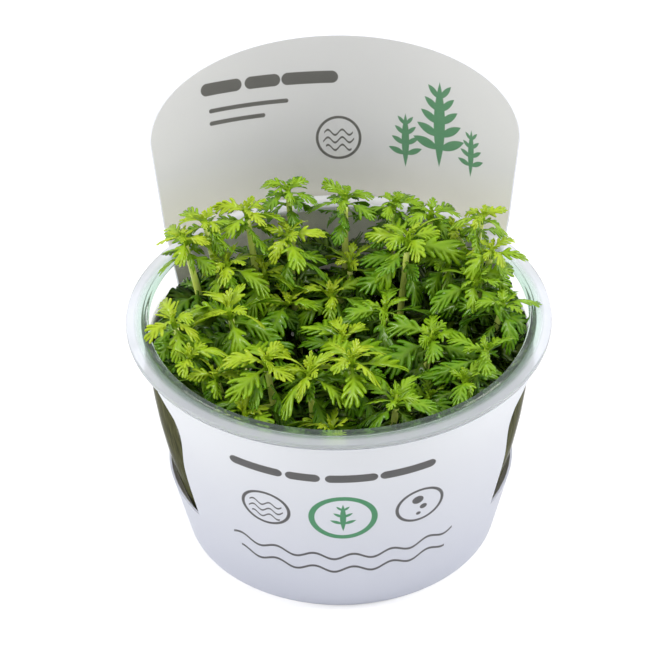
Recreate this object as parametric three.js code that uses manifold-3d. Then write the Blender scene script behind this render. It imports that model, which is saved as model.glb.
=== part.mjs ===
// A clear plastic cup of young water violet plants, with its printed sleeve.
//
// Units are millimetres and +Z is up. The origin is the middle of the cup's base, on the
// surface that the cup stands on. The front is -Y, and the tall tab of the sleeve is at +Y.

import * as THREE from 'three';
import { mergeVertices } from 'three/addons/utils/BufferGeometryUtils.js';
import Module from 'manifold-3d';

const wasm = await Module();
wasm.setup();

const degrees = Math.PI / 180;

// The gap that neighbouring pieces keep between them
const gap = 0.3;

// Driving dimensions of the cup
const cupHeight = 58.7;
const flangeRadius = 50.5;
const flangeThickness = 1.2;
const flangeSeatRadius = 46.8;
const beadHeight = 0.4;
const wallRadiusAtFlange = 45.9;
const wallDraw = 11.0;
const wallDrawPower = 2.1;
const wallThickness = 0.9;
const wallMiddleHeight = 34;
const floorThickness = 1.2;
const baseRadius = 32;
const baseRoundHeight = 2.5;
const cupSegments = 32;

// Driving dimensions of the growing gel
const gelTop = 14;
const rootDepth = 4;

// Driving dimensions of the sleeve, one sheet that is bent to a cone
const sleeveBaseRadius = 37.9;
const sleeveFlare = 0.2228;
const sleeveThickness = 0.5;
const sleeveTurn = 0.4 * degrees;
const frontShift = 1.6 * degrees;
const sleeveFrontTop = cupHeight - flangeThickness - gap;
const frontTuck = 0.95;
const stripHeight = 17.5;
const windowWaistHeight = 50.5;
const windowMiddleHeight = 33;
const frontHalfAngleLow = 55.4 * degrees;
const frontHalfAngleMiddle = 54.8 * degrees;
const frontHalfAngleWaist = 50.6 * degrees;
const frontHalfAngleTop = 58 * degrees;
const tabHalfAngle = 55 * degrees;
const tabHalfWidthAtRim = 48.8;
const tabHalfWidth = 51;
const tabShoulderHeight = 21;
const tabHeight = 41.6;
const panelColumns = 14;
const windowColumns = 4;
const tabArcRows = 4;

// Driving dimensions of the plants
const stemRadius = 0.95;
const stemSides = 5;
const stemSteps = 2;
const axisRadius = 0.9;
const forkDrop = 9;
const leafyLength = 17;
const longStemLeafyLength = 26;
const leafLength = 13;
const shortestLeaf = 0.85;
const longestLeaf = 1.05;
const leafHalfWidth = 2.1;
const leafDepth = 0.7;
const smallSize = 0.8;
const whorlStep = 1.2;
const budHeight = 2;
const stalkInset = 2;

// A shoot stands steep at its foot and leans more further up
const leanAtFoot = 1.6;

// Where a side shoot leaves the axis, and where its elbow is, as shares of their lengths
const forkShare = 0.1;
const forkSpread = 0.05;
const elbowShare = 0.4;

// How close the leaves come to the wall, to the tab and past the flange
const wallClearance = 0.8;
const tabClearance = 1.5;
const overhang = 1;
const tabReach = 12;

// Where each shoot's top is, its size, and the top of its side shoot where it forks
const shoots = [
  { top: [-37, 16, 70], size: 0.7 },
  { top: [-32, 20, 72], size: 0.65 },
  { top: [-22, 24, 72], size: 0.75 },
  { top: [-12, 32, 73], size: 0.65 },
  { top: [2, 32, 70], size: 0.75 },
  { top: [14, 32, 68], size: 0.75 },
  { top: [23, 28, 68], size: 0.75 },
  { top: [35, 19, 73], size: 0.6, side: [28, 24, 66] },
  { top: [37, 13, 67], size: 0.7 },
  { top: [-27, 16, 62], size: 0.95 },
  { top: [-18, 19, 57], size: 0.95, side: [-12, 12, 53] },
  { top: [-12, 22, 66], size: 0.95 },
  { top: [3, 23, 57], size: 1, side: [-2, 12, 55] },
  { top: [17, 17, 68], size: 1.1, longStem: true },
  { top: [27, 17, 61], size: 0.95 },
  { top: [33, 7, 62], size: 1 },
  { top: [39, 0, 60], size: 0.9 },
  { top: [-26, -1, 60], size: 1.1 },
  { top: [11, 3, 57], size: 1 },
  { top: [-39, -7, 62], size: 0.9, side: [-35, -15, 57] },
  { top: [-29, -18, 54], size: 0.95 },
  { top: [-17, -21, 60], size: 1, side: [-22, -29, 51] },
  { top: [-7, -25, 60], size: 1, side: [-2, -34, 50] },
  { top: [3, -22, 61], size: 1.1 },
  { top: [1, -7, 56], size: 1.05 },
  { top: [22, -7, 56], size: 1.1 },
  { top: [13, -31, 56], size: 1.05, side: [21, -22, 50] },
  { top: [29, -24, 56], size: 0.95, side: [34, -17, 59] },
];

// How far a shoot's foot stands from the cup's axis, as a share of its top's distance
const footShare = 0.78;

const plasticClear = { color: 0xe8eef0, roughness: 0.15, metalness: 0 };
const labelFilm = { color: 0xe6e6ec, roughness: 0.35, metalness: 0 };
const gelPale = { color: 0xd8d9c0, roughness: 0.3, metalness: 0 };
const stemGreen = { color: 0xb4c864, roughness: 0.45, metalness: 0 };
const leafGreen = { color: 0x6fa01c, roughness: 0.4, metalness: 0 };

// Steady spread of values from 0 to 1, so that no two leaves are alike
function spread(index, salt) {
  return (index * 0.6180339887 + salt * 0.7548776662) % 1;
}

function mix(low, high, share) {
  return low + (high - low) * share;
}

// Joins shared corners and hands the closed mesh to the boolean library
function toSolid(geometry) {
  const bare = geometry.clone();
  bare.deleteAttribute('normal');
  bare.deleteAttribute('uv');
  const merged = mergeVertices(bare, 1e-4);
  return new wasm.Manifold(new wasm.Mesh({
    numProp: 3,
    vertProperties: new Float32Array(merged.attributes.position.array),
    triVerts: new Uint32Array(merged.index.array),
  }));
}

function toGeometry(solid) {
  const mesh = solid.getMesh();
  const geometry = new THREE.BufferGeometry();
  geometry.setAttribute('position', new THREE.BufferAttribute(mesh.vertProperties, 3));
  geometry.setIndex(new THREE.BufferAttribute(mesh.triVerts, 1));
  geometry.computeVertexNormals();
  return geometry;
}

function named(name, geometry, look) {
  const mesh = new THREE.Mesh(geometry, new THREE.MeshStandardMaterial(look));
  mesh.name = name;
  return mesh;
}

// A closed body from points and outward-facing triangles or quads
function fromFaces(points, faces) {
  const geometry = new THREE.BufferGeometry();
  geometry.setAttribute('position', new THREE.Float32BufferAttribute(points.flat(), 3));
  const corners = [];
  for (const face of faces) {
    for (let i = 1; i + 1 < face.length; i += 1) {
      corners.push(face[0], face[i], face[i + 1]);
    }
  }
  geometry.setIndex(corners);
  geometry.computeVertexNormals();
  return geometry;
}

// Turns a profile of radius and height about +Z
function turned(profile, segments) {
  const points = profile.map(([radius, height]) => new THREE.Vector2(radius, height));
  const geometry = new THREE.LatheGeometry(points, segments);
  geometry.rotateX(90 * degrees);
  return geometry;
}

// Outer radius of the cup's wall, which draws in towards the base
function wallRadius(height) {
  const below = (cupHeight - flangeThickness - height) / (cupHeight - flangeThickness);
  return wallRadiusAtFlange - wallDraw * Math.max(below, 0) ** wallDrawPower;
}

function innerWallRadius(height) {
  return wallRadius(height) - wallThickness;
}

function makeCup() {
  const wallHeights = [gelTop, wallMiddleHeight];
  const underFlange = cupHeight - flangeThickness;
  const beadInner = wallRadiusAtFlange - wallThickness;
  const profile = [
    [0, 0],
    [baseRadius, 0],
    [wallRadius(baseRoundHeight), baseRoundHeight],
    ...wallHeights.map((z) => [wallRadius(z), z]),
    [wallRadius(underFlange), underFlange],
    [flangeRadius, underFlange],
    [flangeRadius, cupHeight],
    [flangeSeatRadius, cupHeight],
    [flangeSeatRadius - beadHeight, cupHeight + beadHeight],
    [beadInner + beadHeight, cupHeight + beadHeight],
    [beadInner, cupHeight],
    ...wallHeights.slice().reverse().map((z) => [innerWallRadius(z), z]),
    [innerWallRadius(baseRoundHeight) - floorThickness, baseRoundHeight + floorThickness],
    [baseRadius - floorThickness, floorThickness],
    [0, floorThickness],
  ];
  return named('cup', turned(profile, cupSegments), plasticClear);
}

// Sleeve radius on its inner side
function sleeveRadius(height) {
  return sleeveBaseRadius + sleeveFlare * height;
}

const coneAngle = Math.atan(sleeveFlare);
const rimSlant = sleeveRadius(cupHeight) / Math.sin(coneAngle);

// Bends a point of the flat tab, with its distance across and its height up the slope
// above the rim, to an angle from the back and a height
function bendTab(across, above) {
  const slant = Math.hypot(across, rimSlant + above);
  const angle = Math.atan2(across, rimSlant + above) / Math.sin(coneAngle);
  const height = cupHeight + (slant - rimSlant) * Math.cos(coneAngle);
  return [angle, height];
}

// The tab's edge above its shoulders, half an ellipse from one shoulder over to the other
function tabEdge(side) {
  const turn = side * 90 * degrees;
  const rise = (tabHeight - tabShoulderHeight) * Math.cos(turn);
  return [tabHalfWidth * Math.sin(turn), tabShoulderHeight + rise];
}

// Rows of angle and height pairs that tile the sleeve, and share corners where they meet
function sleeveCells() {
  const points = [];
  const faces = [];
  const found = new Map();
  const corner = ([angle, height]) => {
    const turned = ((angle / degrees) % 360 + 360) % 360;
    const key = `${turned.toFixed(3)} ${height.toFixed(3)}`;
    if (!found.has(key)) {
      found.set(key, points.length);
      points.push([turned * degrees, height]);
    }
    return found.get(key);
  };
  const tile = (rows) => {
    for (let r = 0; r + 1 < rows.length; r += 1) {
      for (let c = 0; c + 1 < rows[r].length; c += 1) {
        const quad = [rows[r][c], rows[r][c + 1], rows[r + 1][c + 1], rows[r + 1][c]].map(corner);
        const face = quad.filter((id, i) => id !== quad[(i + 3) % 4]);
        if (face.length > 2) {
          faces.push(face);
        }
      }
    }
  };
  const across = (columns, at) => Array.from({ length: columns + 1 }, (_, c) => at(c / columns));
  const straight = (columns, from, to, height) => (
    across(columns, (share) => [mix(from, to, share), height])
  );

  const back = 180 * degrees;
  const frontRow = (halfAngle, height) => (
    straight(panelColumns, frontShift - halfAngle, frontShift + halfAngle, height)
  );
  const rightStart = frontShift + frontHalfAngleLow;
  const leftEnd = 2 * back + frontShift - frontHalfAngleLow;
  const strip = (height) => [
    ...frontRow(frontHalfAngleLow, height),
    ...straight(windowColumns, rightStart, back - tabHalfAngle, height).slice(1),
    ...straight(panelColumns, back - tabHalfAngle, back + tabHalfAngle, height).slice(1),
    ...straight(windowColumns, back + tabHalfAngle, leftEnd, height).slice(1),
  ];
  tile([strip(0), strip(stripHeight)]);
  tile([
    frontRow(frontHalfAngleLow, stripHeight),
    frontRow(frontHalfAngleMiddle, windowMiddleHeight),
    frontRow(frontHalfAngleWaist, windowWaistHeight),
    frontRow(frontHalfAngleTop, sleeveFrontTop),
  ]);

  // The back panel runs up the cone and on into the tab, whose rows are laid out flat
  const tabRow = (halfWidth, above) => (
    across(panelColumns, (share) => {
      const [angle, height] = bendTab(mix(-halfWidth, halfWidth, share), above);
      return [back + angle, height];
    })
  );
  const shoulder = tabRow(tabHalfWidth, tabShoulderHeight);
  const rows = [
    straight(panelColumns, back - tabHalfAngle, back + tabHalfAngle, stripHeight),
    straight(panelColumns, back - tabHalfAngle, back + tabHalfAngle, windowMiddleHeight),
    tabRow(tabHalfWidthAtRim, 0),
    shoulder,
  ];
  for (let r = 1; r <= tabArcRows; r += 1) {
    rows.push(across(panelColumns, (share) => {
      const [edgeAcross, edgeAbove] = tabEdge(2 * share - 1);
      const startAcross = mix(-tabHalfWidth, tabHalfWidth, share);
      const rise = r / tabArcRows;
      const [angle, height] = bendTab(
        mix(startAcross, edgeAcross, rise),
        mix(tabShoulderHeight, edgeAbove, rise),
      );
      return [back + angle, height];
    }));
  }
  tile(rows);
  return { points, faces };
}

// The front panel's top edge is tucked in under the flange
function tuckAt(angle, height) {
  const fromFront = Math.abs(((angle / degrees + 180) % 360) - 180) * degrees;
  return height === sleeveFrontTop && fromFront < tabHalfAngle + 2 * frontShift ? frontTuck : 0;
}

// Gives a sheet its thickness: an inner side, an outer side and a wall along every free edge
function thicken(points, faces, place) {
  const count = points.length;
  const inner = points.map((point) => place(point, 0));
  const outer = points.map((point) => place(point, sleeveThickness));
  const shell = [];
  const edges = new Map();
  for (const face of faces) {
    shell.push(face.map((id) => id + count));
    shell.push(face.slice().reverse());
    face.forEach((id, i) => {
      const next = face[(i + 1) % face.length];
      edges.set(`${id} ${next}`, [id, next]);
    });
  }
  for (const [id, next] of edges.values()) {
    if (!edges.has(`${next} ${id}`)) {
      shell.push([id, next, next + count, id + count]);
    }
  }
  return fromFaces([...inner, ...outer], shell);
}

function makeSleeve() {
  const { points, faces } = sleeveCells();
  const place = ([angle, height], out) => {
    const radius = sleeveRadius(height) - tuckAt(angle, height) + out * Math.cos(coneAngle);
    const drop = out * Math.sin(coneAngle);
    const turn = angle + sleeveTurn;
    return [radius * Math.sin(turn), -radius * Math.cos(turn), Math.max(height - drop, 0)];
  };
  return named('label_sleeve', thicken(points, faces, place), labelFilm);
}

// The line that a shoot grows along, from its foot in the gel to its top
class ShootLine extends THREE.Curve {
  constructor(foot, top, start = 0, end = 1) {
    super();
    this.foot = foot;
    this.top = top;
    this.start = start;
    this.end = end;
  }

  getPoint(t, target = new THREE.Vector3()) {
    const share = mix(this.start, this.end, t);
    const lean = share * share * (leanAtFoot - (leanAtFoot - 1) * share);
    return target.set(
      mix(this.foot.x, this.top.x, lean),
      mix(this.foot.y, this.top.y, lean),
      mix(this.foot.z, this.top.z, share),
    );
  }
}

// A section with a few flat sides, whose area is close to the round one's
function stemSection(radius) {
  const corners = Array.from({ length: stemSides }, (_, i) => {
    const turn = (i * 2 * Math.PI) / stemSides;
    return new THREE.Vector2(radius * Math.cos(turn), radius * Math.sin(turn));
  });
  return new THREE.Shape(corners);
}

function tube(line, radius, steps) {
  return new THREE.ExtrudeGeometry(stemSection(radius), {
    steps,
    extrudePath: line,
    bevelEnabled: false,
  });
}

// A leaf's middle line is an arc that starts upwards and bends down towards its tip
function leafPoint(leaf, t) {
  const halfBend = (leaf.droop * t) / 2;
  const chord = leaf.length * t * (halfBend > 0 ? Math.sin(halfBend) / halfBend : 1);
  const slope = leaf.rise - halfBend;
  const reach = chord * Math.cos(slope);
  return new THREE.Vector3(
    leaf.root.x + reach * Math.cos(leaf.azimuth),
    leaf.root.y + reach * Math.sin(leaf.azimuth),
    leaf.root.z + chord * Math.sin(slope),
  );
}

// Where a blade's sections lie along it, and their width as a share of the widest
const fullStations = [[0.4, 0.62], [0.76, 1]];
const plainStations = [[0.6, 1]];
const clearanceStations = [[0.15, 0.35], ...fullStations];
const clearanceEnd = 1.02;

// The right edge, left edge and ridge of a blade's three-cornered section
function bladeSection(leaf, t, width, extra) {
  const middle = leafPoint(leaf, t);
  const slope = leaf.rise - leaf.droop * t;
  const side = new THREE.Vector3(-Math.sin(leaf.azimuth), Math.cos(leaf.azimuth), 0);
  const up = new THREE.Vector3(
    -Math.sin(slope) * Math.cos(leaf.azimuth),
    -Math.sin(slope) * Math.sin(leaf.azimuth),
    Math.cos(slope),
  );
  const half = leafHalfWidth * leaf.size * width + extra;
  const right = middle.clone().addScaledVector(side, -half).addScaledVector(up, -extra);
  const left = middle.clone().addScaledVector(side, half).addScaledVector(up, -extra);
  const ridge = middle.clone().addScaledVector(up, leafDepth + extra);
  return [right, left, ridge];
}

// A growing body: a stack of three-cornered rings, with leaves that grow out of its facets
class ShootBody {
  constructor() {
    this.points = [];
    this.faces = [];
  }

  add(point) {
    this.points.push(point.toArray());
    return this.points.length - 1;
  }

  at(id) {
    return new THREE.Vector3(...this.points[id]);
  }

  // Three corners about a centre, whose first edge faces the azimuth
  ring(centre, azimuth, radius) {
    return [-60, 60, 180].map((turn) => {
      const corner = azimuth + turn * degrees;
      const out = new THREE.Vector3(Math.cos(corner), Math.sin(corner), 0);
      return this.add(centre.clone().addScaledVector(out, radius));
    });
  }

  // Joins two rings, and returns the three facets that stand on the lower ring's edges
  join(lower, upper) {
    const middles = lower.map((id, i) => (
      this.at(id).add(this.at(lower[(i + 1) % 3])).multiplyScalar(0.5)
    ));
    const misfit = (shift) => middles.reduce((sum, middle, i) => (
      sum + middle.distanceToSquared(this.at(upper[(i + shift) % 3]))
    ), 0);
    const shift = [0, 1, 2].sort((one, other) => misfit(one) - misfit(other))[0];
    const over = lower.map((_, i) => upper[(i + shift) % 3]);
    lower.forEach((_, i) => {
      const next = (i + 1) % 3;
      this.faces.push([lower[next], over[next], over[i]]);
    });
    return lower.map((id, i) => [id, lower[(i + 1) % 3], over[i]]);
  }

  close(facets) {
    this.faces.push(...facets);
  }

  middleOf(facet) {
    const sum = facet.reduce((total, id) => total.add(this.at(id)), new THREE.Vector3());
    return sum.multiplyScalar(1 / 3);
  }

  // Draws a facet out into a leaf
  leaf(facet, leaf) {
    let ring = facet;
    for (const [t, width] of leaf.plain ? plainStations : fullStations) {
      const next = bladeSection(leaf, t, width, 0).map((point) => this.add(point));
      ring.forEach((id, i) => {
        this.faces.push([id, ring[(i + 1) % 3], next[(i + 1) % 3], next[i]]);
      });
      ring = next;
    }
    const tip = this.add(leafPoint(leaf, 1));
    ring.forEach((id, i) => this.faces.push([id, ring[(i + 1) % 3], tip]));
  }
}

// The outer part of a leaf as a solid of its own, a little larger, to test its clearance
function bladeSolid(leaf) {
  const body = new ShootBody();
  const rings = clearanceStations.map(([t, width]) => (
    bladeSection(leaf, t, width, gap / 2).map((point) => body.add(point))
  ));
  body.faces.push(rings[0].slice().reverse());
  for (const [lower, upper] of [[rings[0], rings[1]], [rings[1], rings[2]]]) {
    lower.forEach((id, i) => {
      body.faces.push([id, lower[(i + 1) % 3], upper[(i + 1) % 3], upper[i]]);
    });
  }
  const tip = body.add(leafPoint(leaf, clearanceEnd));
  rings[2].forEach((id, i) => body.faces.push([id, rings[2][(i + 1) % 3], tip]));
  return toSolid(fromFaces(body.points, body.faces));
}

// Beads along a leaf or stem, each with the room that it needs about it
const leafBeadStations = [[0.4, 1.2], [0.6, 1.8], [0.82, 1.8], [1, 0.7]];
const lineBeadCount = 18;

function leafBeads(leaf) {
  return leafBeadStations.map(([t, room]) => ({
    at: leafPoint(leaf, t),
    room: room * leaf.size,
  }));
}

function lineBeads(line) {
  return Array.from({ length: lineBeadCount + 1 }, (_, i) => ({
    at: line.getPoint(i / lineBeadCount),
    room: stemRadius,
  }));
}

// True where a bead is clear of the cup's wall, its flange and the tab behind
function insideCup({ at, room }) {
  const radius = Math.hypot(at.x, at.y) + room;
  if (at.z - room < cupHeight + 1) {
    return radius < innerWallRadius(at.z) - wallClearance;
  }
  const reach = at.y > tabReach ? flangeRadius - tabClearance : flangeRadius + overhang;
  return radius < reach;
}

// Leaves lie nearly level, so less room is asked for above and below than beside
const levelShare = 1.7;

function apart(one, other) {
  const needed = one.room + other.room + gap;
  const rise = (one.at.z - other.at.z) * levelShare;
  return Math.hypot(one.at.x - other.at.x, one.at.y - other.at.y, rise) > needed;
}

// Turns a leaf a little to either side, and then shortens it, until it has room
const settleTurns = 11;
const settleStep = 9 * degrees;
const shortenings = [1, 0.72];

function settle(leaf, others) {
  for (const shortening of shortenings) {
    for (let i = 0; i < settleTurns; i += 1) {
      const turn = Math.ceil(i / 2) * settleStep * (i % 2 ? 1 : -1);
      const tried = { ...leaf, azimuth: leaf.azimuth + turn, length: leaf.length * shortening };
      const beads = leafBeads(tried);
      if (beads.every((bead) => insideCup(bead) && others.every((other) => apart(bead, other)))) {
        return { leaf: tried, beads };
      }
    }
  }
  return null;
}

// The whorls of a rosette, from the lowest: how far below the tip each one grows, its
// leaves' share of the full length, and how steeply they rise and bend
const upperWhorls = [
  { below: 7.5, reach: 0.95, rise: [-12, 14], droop: [25, 50], plain: false },
  { below: 2.4, reach: 1, rise: [8, 30], droop: [40, 75], plain: false },
  { below: 1.2, reach: 0.8, rise: [24, 50], droop: [50, 85], plain: false },
];

// The older whorl that stands further down, in the shade
function lowWhorl(below) {
  return { below, reach: 0.95, rise: [-10, 25], droop: [25, 60], plain: true };
}

// Grows one rosette: its axis up from a ring, its whorls of leaves and the bud
function growRosette(body, start, line, whorls, size, index, grow) {
  const phase = spread(index, 1) * 2 * Math.PI;
  const tip = line.getPoint(1);
  const height = tip.z - line.getPoint(0).z;
  const along = (below) => line.getPoint(1 - (below * size) / height);
  let ring = start;
  whorls.forEach((whorl, w) => {
    const turn = phase + w * 60 * degrees;
    if (w < whorls.length - 1) {
      const lower = body.ring(along(whorl.below), turn, axisRadius);
      body.close(body.join(ring, lower));
      ring = lower;
    }
    const upper = body.ring(along(whorl.below - whorlStep), turn + 60 * degrees, axisRadius);
    body.join(ring, upper).forEach((facet, j) => {
      const vary = spread(index * 12 + w * 3 + j, 2);
      const leaf = {
        root: body.middleOf(facet),
        azimuth: turn + j * 120 * degrees,
        rise: mix(...whorl.rise, vary) * degrees,
        droop: mix(...whorl.droop, spread(index * 12 + w * 3 + j, 3)) * degrees,
        length: leafLength * size * whorl.reach * mix(shortestLeaf, longestLeaf, vary),
        size,
        plain: whorl.plain || size < smallSize,
      };
      grow(facet, leaf);
    });
    ring = upper;
  });
  const bud = body.add(tip.clone().add(new THREE.Vector3(0, 0, budHeight * size)));
  ring.forEach((id, i) => body.faces.push([id, ring[(i + 1) % 3], bud]));
}

function footOf(top) {
  return new THREE.Vector3(top.x * footShare, top.y * footShare, gelTop - rootDepth + gap);
}

// Lays out every shoot: its whole line, its bare stem, its leafy end and its side shoot
function plantShoots() {
  return shoots.map((shoot, number) => {
    const top = new THREE.Vector3(...shoot.top);
    const foot = footOf(top);
    const forkHeight = shoot.side ? shoot.side[2] - forkDrop : top.z;
    const low = shoot.longStem ? longStemLeafyLength : leafyLength;
    const leafyHeight = Math.min(top.z - low, forkHeight);
    const leafyStart = (leafyHeight - foot.z) / (top.z - foot.z);
    const joint = gap / (top.z - foot.z);
    const axis = new ShootLine(foot, top, leafyStart, 1);
    return {
      number: number + 1,
      size: shoot.size,
      whole: new ShootLine(foot, top),
      stem: new ShootLine(foot, top, 0, leafyStart - joint),
      axis,
      whorls: shoot.side
        ? upperWhorls
        : [lowWhorl((low - stalkInset) / shoot.size), ...upperWhorls],
      branch: shoot.side
        && new ShootLine(axis.getPoint(forkShare), new THREE.Vector3(...shoot.side)),
    };
  });
}

function numbered(name, number) {
  return `${name}_${String(number).padStart(2, '0')}`;
}

function makePlants(group) {
  const plants = plantShoots();
  const stems = plants.map((plant) => tube(plant.stem, stemRadius, stemSteps));
  const beads = plants.map((plant) => [
    ...lineBeads(plant.whole),
    ...(plant.branch ? lineBeads(plant.branch) : []),
  ]);
  const blades = stems.map(toSolid);
  let rosette = 0;
  plants.forEach((plant, i) => {
    const body = new ShootBody();
    const ownLeaves = [];
    const grow = (facet, wanted) => {
      const others = [...beads.flatMap((set, j) => (j === i ? [] : set)), ...ownLeaves];
      const settled = settle(wanted, others);
      if (settled) {
        ownLeaves.push(...settled.beads);
        const blade = bladeSolid(settled.leaf);
        if (blades.every((other) => blade.intersect(other).isEmpty())) {
          blades.push(blade);
          body.leaf(facet, settled.leaf);
          return;
        }
      }
      body.close([facet]);
    };
    const startRing = (centre, azimuth) => body.ring(centre, azimuth, axisRadius);
    const foot = startRing(plant.axis.getPoint(0), 0);
    body.faces.push(foot.slice().reverse());
    let start = foot;
    if (plant.branch) {
      const out = plant.branch.getPoint(1).sub(plant.branch.getPoint(0));
      const facing = Math.atan2(out.y, out.x);
      const forkLow = startRing(plant.axis.getPoint(forkShare - forkSpread), facing);
      body.close(body.join(foot, forkLow));
      const forkTurn = facing + 60 * degrees;
      const forkHigh = startRing(plant.axis.getPoint(forkShare + forkSpread), forkTurn);
      const [socket, ...rest] = body.join(forkLow, forkHigh);
      body.close(rest);
      start = forkHigh;
      const elbow = startRing(plant.branch.getPoint(elbowShare), facing);
      body.close(body.join(socket, elbow));
      growRosette(body, elbow, plant.branch, upperWhorls, plant.size, rosette, grow);
      rosette += 1;
    }
    growRosette(body, start, plant.axis, plant.whorls, plant.size, rosette, grow);
    rosette += 1;
    beads[i].push(...ownLeaves);
    const leafyTop = fromFaces(body.points, body.faces);
    group.add(named(numbered('stem', plant.number), stems[i], stemGreen));
    group.add(named(numbered('leafy_top', plant.number), leafyTop, leafGreen));
  });
}

// The gel fills the cup's foot, with a socket for every stem
function makeGel() {
  const inset = (z) => innerWallRadius(z) - gap;
  const floor = floorThickness + gap;
  const profile = [
    [0, floor],
    [baseRadius - floorThickness - gap, floor],
    [inset(baseRoundHeight) - floorThickness, baseRoundHeight + floorThickness + gap],
    [inset(gelTop), gelTop],
    [0, gelTop],
  ];
  let gel = toSolid(turned(profile, cupSegments));
  for (const plant of plantShoots()) {
    const foot = plant.whole.getPoint(0);
    const radius = stemRadius + 2 * gap;
    const socket = new THREE.CylinderGeometry(radius, radius, 2 * rootDepth, stemSides + 1);
    socket.rotateX(90 * degrees);
    socket.translate(foot.x, foot.y, gelTop);
    gel = gel.subtract(toSolid(socket));
  }
  return named('growing_gel', toGeometry(gel), gelPale);
}

const group = new THREE.Group();
group.add(makeCup());
group.add(makeSleeve());
group.add(makeGel());
makePlants(group);

export default group;
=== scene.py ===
"""A clear plastic cup of young water violet plants, with its printed sleeve.

Lengths are worked out in millimetres, in the CAD model's frame, and put into Blender in metres.
The front is -Y, and the tall tab of the sleeve is at +Y.
"""

import math
import random

import bpy
import numpy as np
from mathutils import Matrix, Vector


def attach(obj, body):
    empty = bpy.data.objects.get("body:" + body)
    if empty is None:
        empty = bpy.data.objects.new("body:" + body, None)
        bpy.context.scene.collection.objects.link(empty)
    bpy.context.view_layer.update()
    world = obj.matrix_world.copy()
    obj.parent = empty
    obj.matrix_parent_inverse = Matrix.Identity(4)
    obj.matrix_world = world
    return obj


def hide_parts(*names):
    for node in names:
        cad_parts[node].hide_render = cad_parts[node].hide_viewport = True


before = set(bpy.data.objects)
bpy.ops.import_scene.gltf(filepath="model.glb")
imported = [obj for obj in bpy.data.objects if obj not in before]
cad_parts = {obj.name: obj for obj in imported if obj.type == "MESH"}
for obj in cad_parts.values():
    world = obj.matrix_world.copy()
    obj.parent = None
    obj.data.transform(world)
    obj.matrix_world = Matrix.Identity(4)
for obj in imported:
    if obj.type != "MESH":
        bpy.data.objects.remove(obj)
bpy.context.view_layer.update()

MM = 0.001
PHOTO_SIDE = 665

# Camera, found from the rim, the base and the tab
CAMERA_TARGET = (0, 0, 40)
CAMERA_DISTANCE = 600
CAMERA_ELEVATION = math.radians(37.385)
CAMERA_ROLL = math.radians(-0.8316)
CAMERA_FOCUS = 2482.57
TARGET_ACROSS = 338.995
TARGET_DOWN = 374.146
SENSOR_WIDTH = 36

# The cup
CUP_HEIGHT = 58.7
FLANGE_RADIUS = 50.5
FLANGE_THICKNESS = 1.2
FLANGE_SEAT_RADIUS = 46.8
BEAD_HEIGHT = 0.4
WALL_RADIUS_AT_FLANGE = 45.9
WALL_DRAW = 11.0
WALL_DRAW_POWER = 2.1
WALL_THICKNESS = 0.9
FLOOR_THICKNESS = 1.2
BASE_RADIUS = 32
BASE_ROUND_HEIGHT = 2.5
FOOT_RECESS = 0.4
FOOT_RING = 3
CUP_SEGMENTS = 160

# The growing gel
GEL_TOP = 14
GEL_CREEP = 0.6
GEL_DIP = 0.3
ROOT_DEPTH = 4
GAP = 0.3

# The sleeve, one sheet that is bent to a cone
SLEEVE_BASE_RADIUS = 37.9
SLEEVE_FLARE = 0.2228
SLEEVE_THICKNESS = 0.5
SLEEVE_TURN = math.radians(0.4)
FRONT_SHIFT = math.radians(1.6)
SLEEVE_FRONT_TOP = CUP_HEIGHT - FLANGE_THICKNESS - GAP
FRONT_TUCK = 0.95
STRIP_HEIGHT = 17.5
WINDOW_WAIST_HEIGHT = 50.5
WINDOW_MIDDLE_HEIGHT = 33
FRONT_HALF_ANGLE_LOW = math.radians(55.4)
FRONT_HALF_ANGLE_MIDDLE = math.radians(54.8)
FRONT_HALF_ANGLE_WAIST = math.radians(50.6)
FRONT_HALF_ANGLE_TOP = math.radians(58)
TAB_HALF_ANGLE = math.radians(55)
TAB_HALF_WIDTH_AT_RIM = 48.8
TAB_HALF_WIDTH = 51
TAB_SHOULDER_HEIGHT = 21
TAB_HEIGHT = 41.6
CONE_ANGLE = math.atan(SLEEVE_FLARE)

# The plants
STEM_RADIUS = 0.95
AXIS_RADIUS = 0.9
FORK_DROP = 9
BRANCH_STARTS = 0.1
FORK_SHARE = 0.15
ELBOW_SHARE = 0.4
LEAN_BEND = 0.6
LEAFY_LENGTH = 17
LONG_STEM_LEAFY_LENGTH = 26
LEAF_LENGTH = 13
FOOT_SHARE = 0.78

# How much younger or older than the rest a shoot's leaves look
FRESH = -0.05
OLD = 0.16


def shoot(x, y, height, size, tone=0, side=None, leafy=LEAFY_LENGTH):
    """A shoot by its top, its size, its tone, the top of its side shoot, and its leafy length."""
    top = np.array((x, y, height), float)
    return {"top": top, "size": size, "tone": tone, "side": side, "leafy": leafy}


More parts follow.
